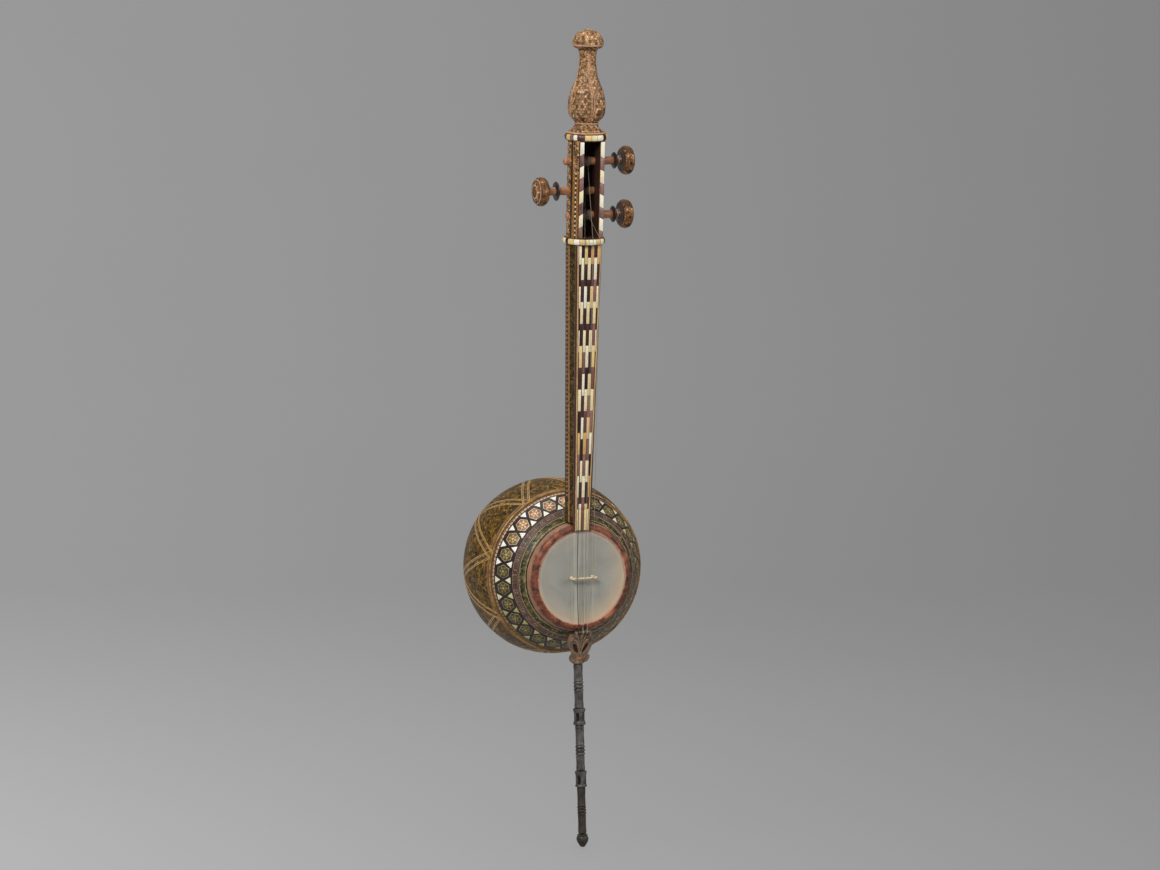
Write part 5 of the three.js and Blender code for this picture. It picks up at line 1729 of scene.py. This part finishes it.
def build_spike():
    parts = [("spike_lower_rod", 15, 67, 4.9, 36, 46), ("spike_middle_rod", 85.4, 136, 5.2, 102, 114),
             ("spike_upper_rod", 155, 204, 5.4, 173, 185)]
    for node, start, end, radius, low, high in parts:
        shape = Shape()
        profile = rod_profile(start, end, radius - 0.35, low, high)
        dense = []
        for (r0, h0), (r1, h1) in zip(profile, profile[1:]):
            n = max(1, int(abs(h1 - h0) / 2.5))
            dense += [(lerp(r0, r1, k / n), lerp(h0, h1, k / n)) for k in range(n)]
        dense.append(profile[-1])
        shape.lathe(SPIKE, dense, 40, 16, 0, radial=hammered())
        name = node.replace("spike_", "iron_")
        metal_here = DARK_IRON if start < 50 else IRON
        piece(name, shape, [metal_here], replaces=[node], smooth=35)
    shape = Shape()
    tip = refine([(1.6, 0.25), (2.9, 1.2), (4.3, 3.2), (5.6, 5.4), (6.5, 7.8), (6.65, 9.6), (6.2, 11.4),
                  (5.4, 12.6)], 3)
    tip = [(0.01, 0.2)] + tip + [(5.6, 13.0), (5.9, 13.5), (5.6, 14.0), (4.7, 14.5), (0.01, 14.9)]
    shape.lathe(SPIKE, tip, 40, 16, 0, radial=hammered(0.1))
    piece("iron_tip", shape, [DARK_IRON], replaces=["spike_tip"], smooth=35)
    for node, start, end, radius, slot_low, slot_high in (
        ("spike_cage_lower", 67, 85.4, 6.6, 70.6, 79.6), ("spike_cage_upper", 136, 155, 6.9, 141, 150)):
        shape = Shape()
        low_end = [(0.01, start + 0.1), (radius - 1.3, start + 0.1), (radius - 0.1, start + 0.9),
                   (radius, start + 1.8), (radius - 0.6, slot_low - 1.0), (radius - 0.75, slot_low - 0.2),
                   (radius - 1.1, slot_low), (0.01, slot_low)]
        high_end = [(0.01, slot_high), (radius - 1.1, slot_high), (radius - 0.75, slot_high + 0.2),
                    (radius - 0.6, slot_high + 1.0), (radius, end - 1.8), (radius - 0.1, end - 0.9),
                    (radius - 1.3, end - 0.1), (0.01, end - 0.1)]
        for profile in (low_end, high_end):
            shape.lathe(SPIKE, profile, 40, 16, 0, radial=hammered())
        for k in range(4):
            rings = []
            for i in range(9):
                s = lerp(slot_low - 0.3, slot_high + 0.3, i / 8)
                waist = 1 - 0.12 * math.sin(math.pi * i / 8)
                ring = []
                for t, r in ((-27, 3.7), (-30, 4.8), (-26, 5.7), (-12, 5.95), (12, 5.95), (26, 5.7),
                             (30, 4.8), (27, 3.7)):
                    a = rad(90 * k + t * waist)
                    rr = min(r, radius - 0.6)
                    ring.append(SPIKE(rr * math.cos(a), rr * math.sin(a), s))
                rings.append(ring)
            shape.sweep(rings, 0.3)
        name = node.replace("spike_", "iron_")
        piece(name, shape, [IRON], replaces=[node], smooth=35)


def finish_nodes():
    """Inner pieces that stay as the CAD has them."""
    for node, mat in (("bowl_core", WALNUT), ("inner_dowel", WALNUT), ("spike_tang", IRON)):
        obj = frame["nodes"][node]
        obj.data.materials.clear()
        obj.data.materials.append(mat)


# ---- studio ----
CAMERA_AT = (-1.5292, -3.5741, 0.9742)
CAMERA_TURN = -23.12
CAMERA_DOWN = 7.54
CAMERA_LENS = 111.7


def backdrop():
    """A pale sheet that runs from the floor up into the wall, square to the camera."""
    g = Graph("backdrop")
    soft = g.noise(g.here, 1.4, 3.0, 0.5)
    grain = g.bump(g.noise(g.here, 240.0, 3.0), 0.0004, 0.2)
    g.done(g.mix(soft, (0.48, 0.48, 0.485), (0.50, 0.50, 0.50)), 0.9, grain, Specular_IOR_Level=0.1)
    mesh = bpy.data.meshes.new("backdrop")
    rows = []
    for i in range(33):
        t = i / 32
        if t < 0.4:
            y = lerp(-6.0, 1.6, t / 0.4)
            z = 0.0
        elif t < 0.75:
            a = math.pi / 2 * (t - 0.4) / 0.35
            y = 1.6 + 2.2 * math.sin(a)
            z = 2.2 * (1 - math.cos(a))
        else:
            y = 3.8
            z = lerp(2.2, 7.0, (t - 0.75) / 0.25)
        rows.append((y, z))
    turn = rad(CAMERA_TURN)
    points = []
    for y, z in rows:
        for x in (-8.0, 8.0):
            points.append((x * math.cos(turn) - y * math.sin(turn),
                           x * math.sin(turn) + y * math.cos(turn), z - 0.0002))
    faces = [(2 * i, 2 * i + 1, 2 * i + 3, 2 * i + 2) for i in range(len(rows) - 1)]
    mesh.from_pydata(points, [], faces)
    mesh.shade_smooth()
    mesh.materials.append(g.mat)
    sweep = put("backdrop", mesh)
    return sweep


def studio():
    sweep = backdrop()
    white = (1.0, 1.0, 1.0)

    def area(name, place, target, size, power, tint=white, only_backdrop=False):
        """A soft lamp on the instrument, or one on the backdrop alone."""
        light = bpy.data.lights.new(name, "AREA")
        light.shape = "RECTANGLE"
        light.size = size[0]
        light.size_y = size[1]
        light.energy = power
        light.color = tint
        light.use_shadow = not only_backdrop
        holder = put(name, light)
        holder.location = place
        holder.rotation_euler = (Vector(target) - Vector(place)).to_track_quat("-Z", "Y").to_euler()
        lit = bpy.data.collections.new(name + "_reach")
        lit.objects.link(sweep)
        holder.light_linking.receiver_collection = lit
        lit.collection_objects[0].light_linking.link_state = "INCLUDE" if only_backdrop else "EXCLUDE"

    middle = (0.0, 0.0, 0.45)
    area("key", (-2.3, -2.3, 2.6), middle, (1.3, 1.3), 112, (1.0, 0.98, 0.945))
    area("fill", (2.6, -2.2, 1.9), middle, (1.6, 1.6), 60)
    area("top", (-0.3, 0.6, 3.2), (0.0, 0.1, 0.4), (1.8, 1.8), 24)
    area("wash", (-2.89, -0.40, 3.0), (0.405, 1.458, 0.2), (1.6, 1.6), 158, white, True)
    world = bpy.data.worlds.new("room")
    world.use_nodes = True
    light = world.node_tree.nodes["Background"].inputs
    light[0].default_value = (0.80, 0.805, 0.81, 1)
    light[1].default_value = 0.20
    bpy.context.scene.world = world
    bpy.context.scene.view_settings.view_transform = "Standard"
    place_camera()


def place_camera():
    camera = bpy.data.cameras.new("camera")
    camera.lens = CAMERA_LENS
    camera.sensor_width = 36
    camera.clip_start = 0.05
    camera.clip_end = 60
    holder = put("camera", camera)
    holder.location = CAMERA_AT
    holder.rotation_euler = (rad(90 - CAMERA_DOWN), 0, rad(CAMERA_TURN))
    bpy.context.scene.camera = holder


studio()
build_back()
build_straps()
build_medallion()
build_bead()
build_rosettes()
build_inner_bands()
build_belly()
build_bridge()
build_neck()
build_fingerboard()
build_collar("nut_collar", 371.6, "lower_collar", NUT_BLOCKS)
build_collar("crown_collar", 483.6, "upper_collar", CROWN_BLOCKS)
build_pegbox()
build_cheeks()
build_finial()
for number, peg in enumerate(PEGS, 1):
    build_peg(number, peg)
build_strings()
build_bracket()
build_spike()
finish_nodes()
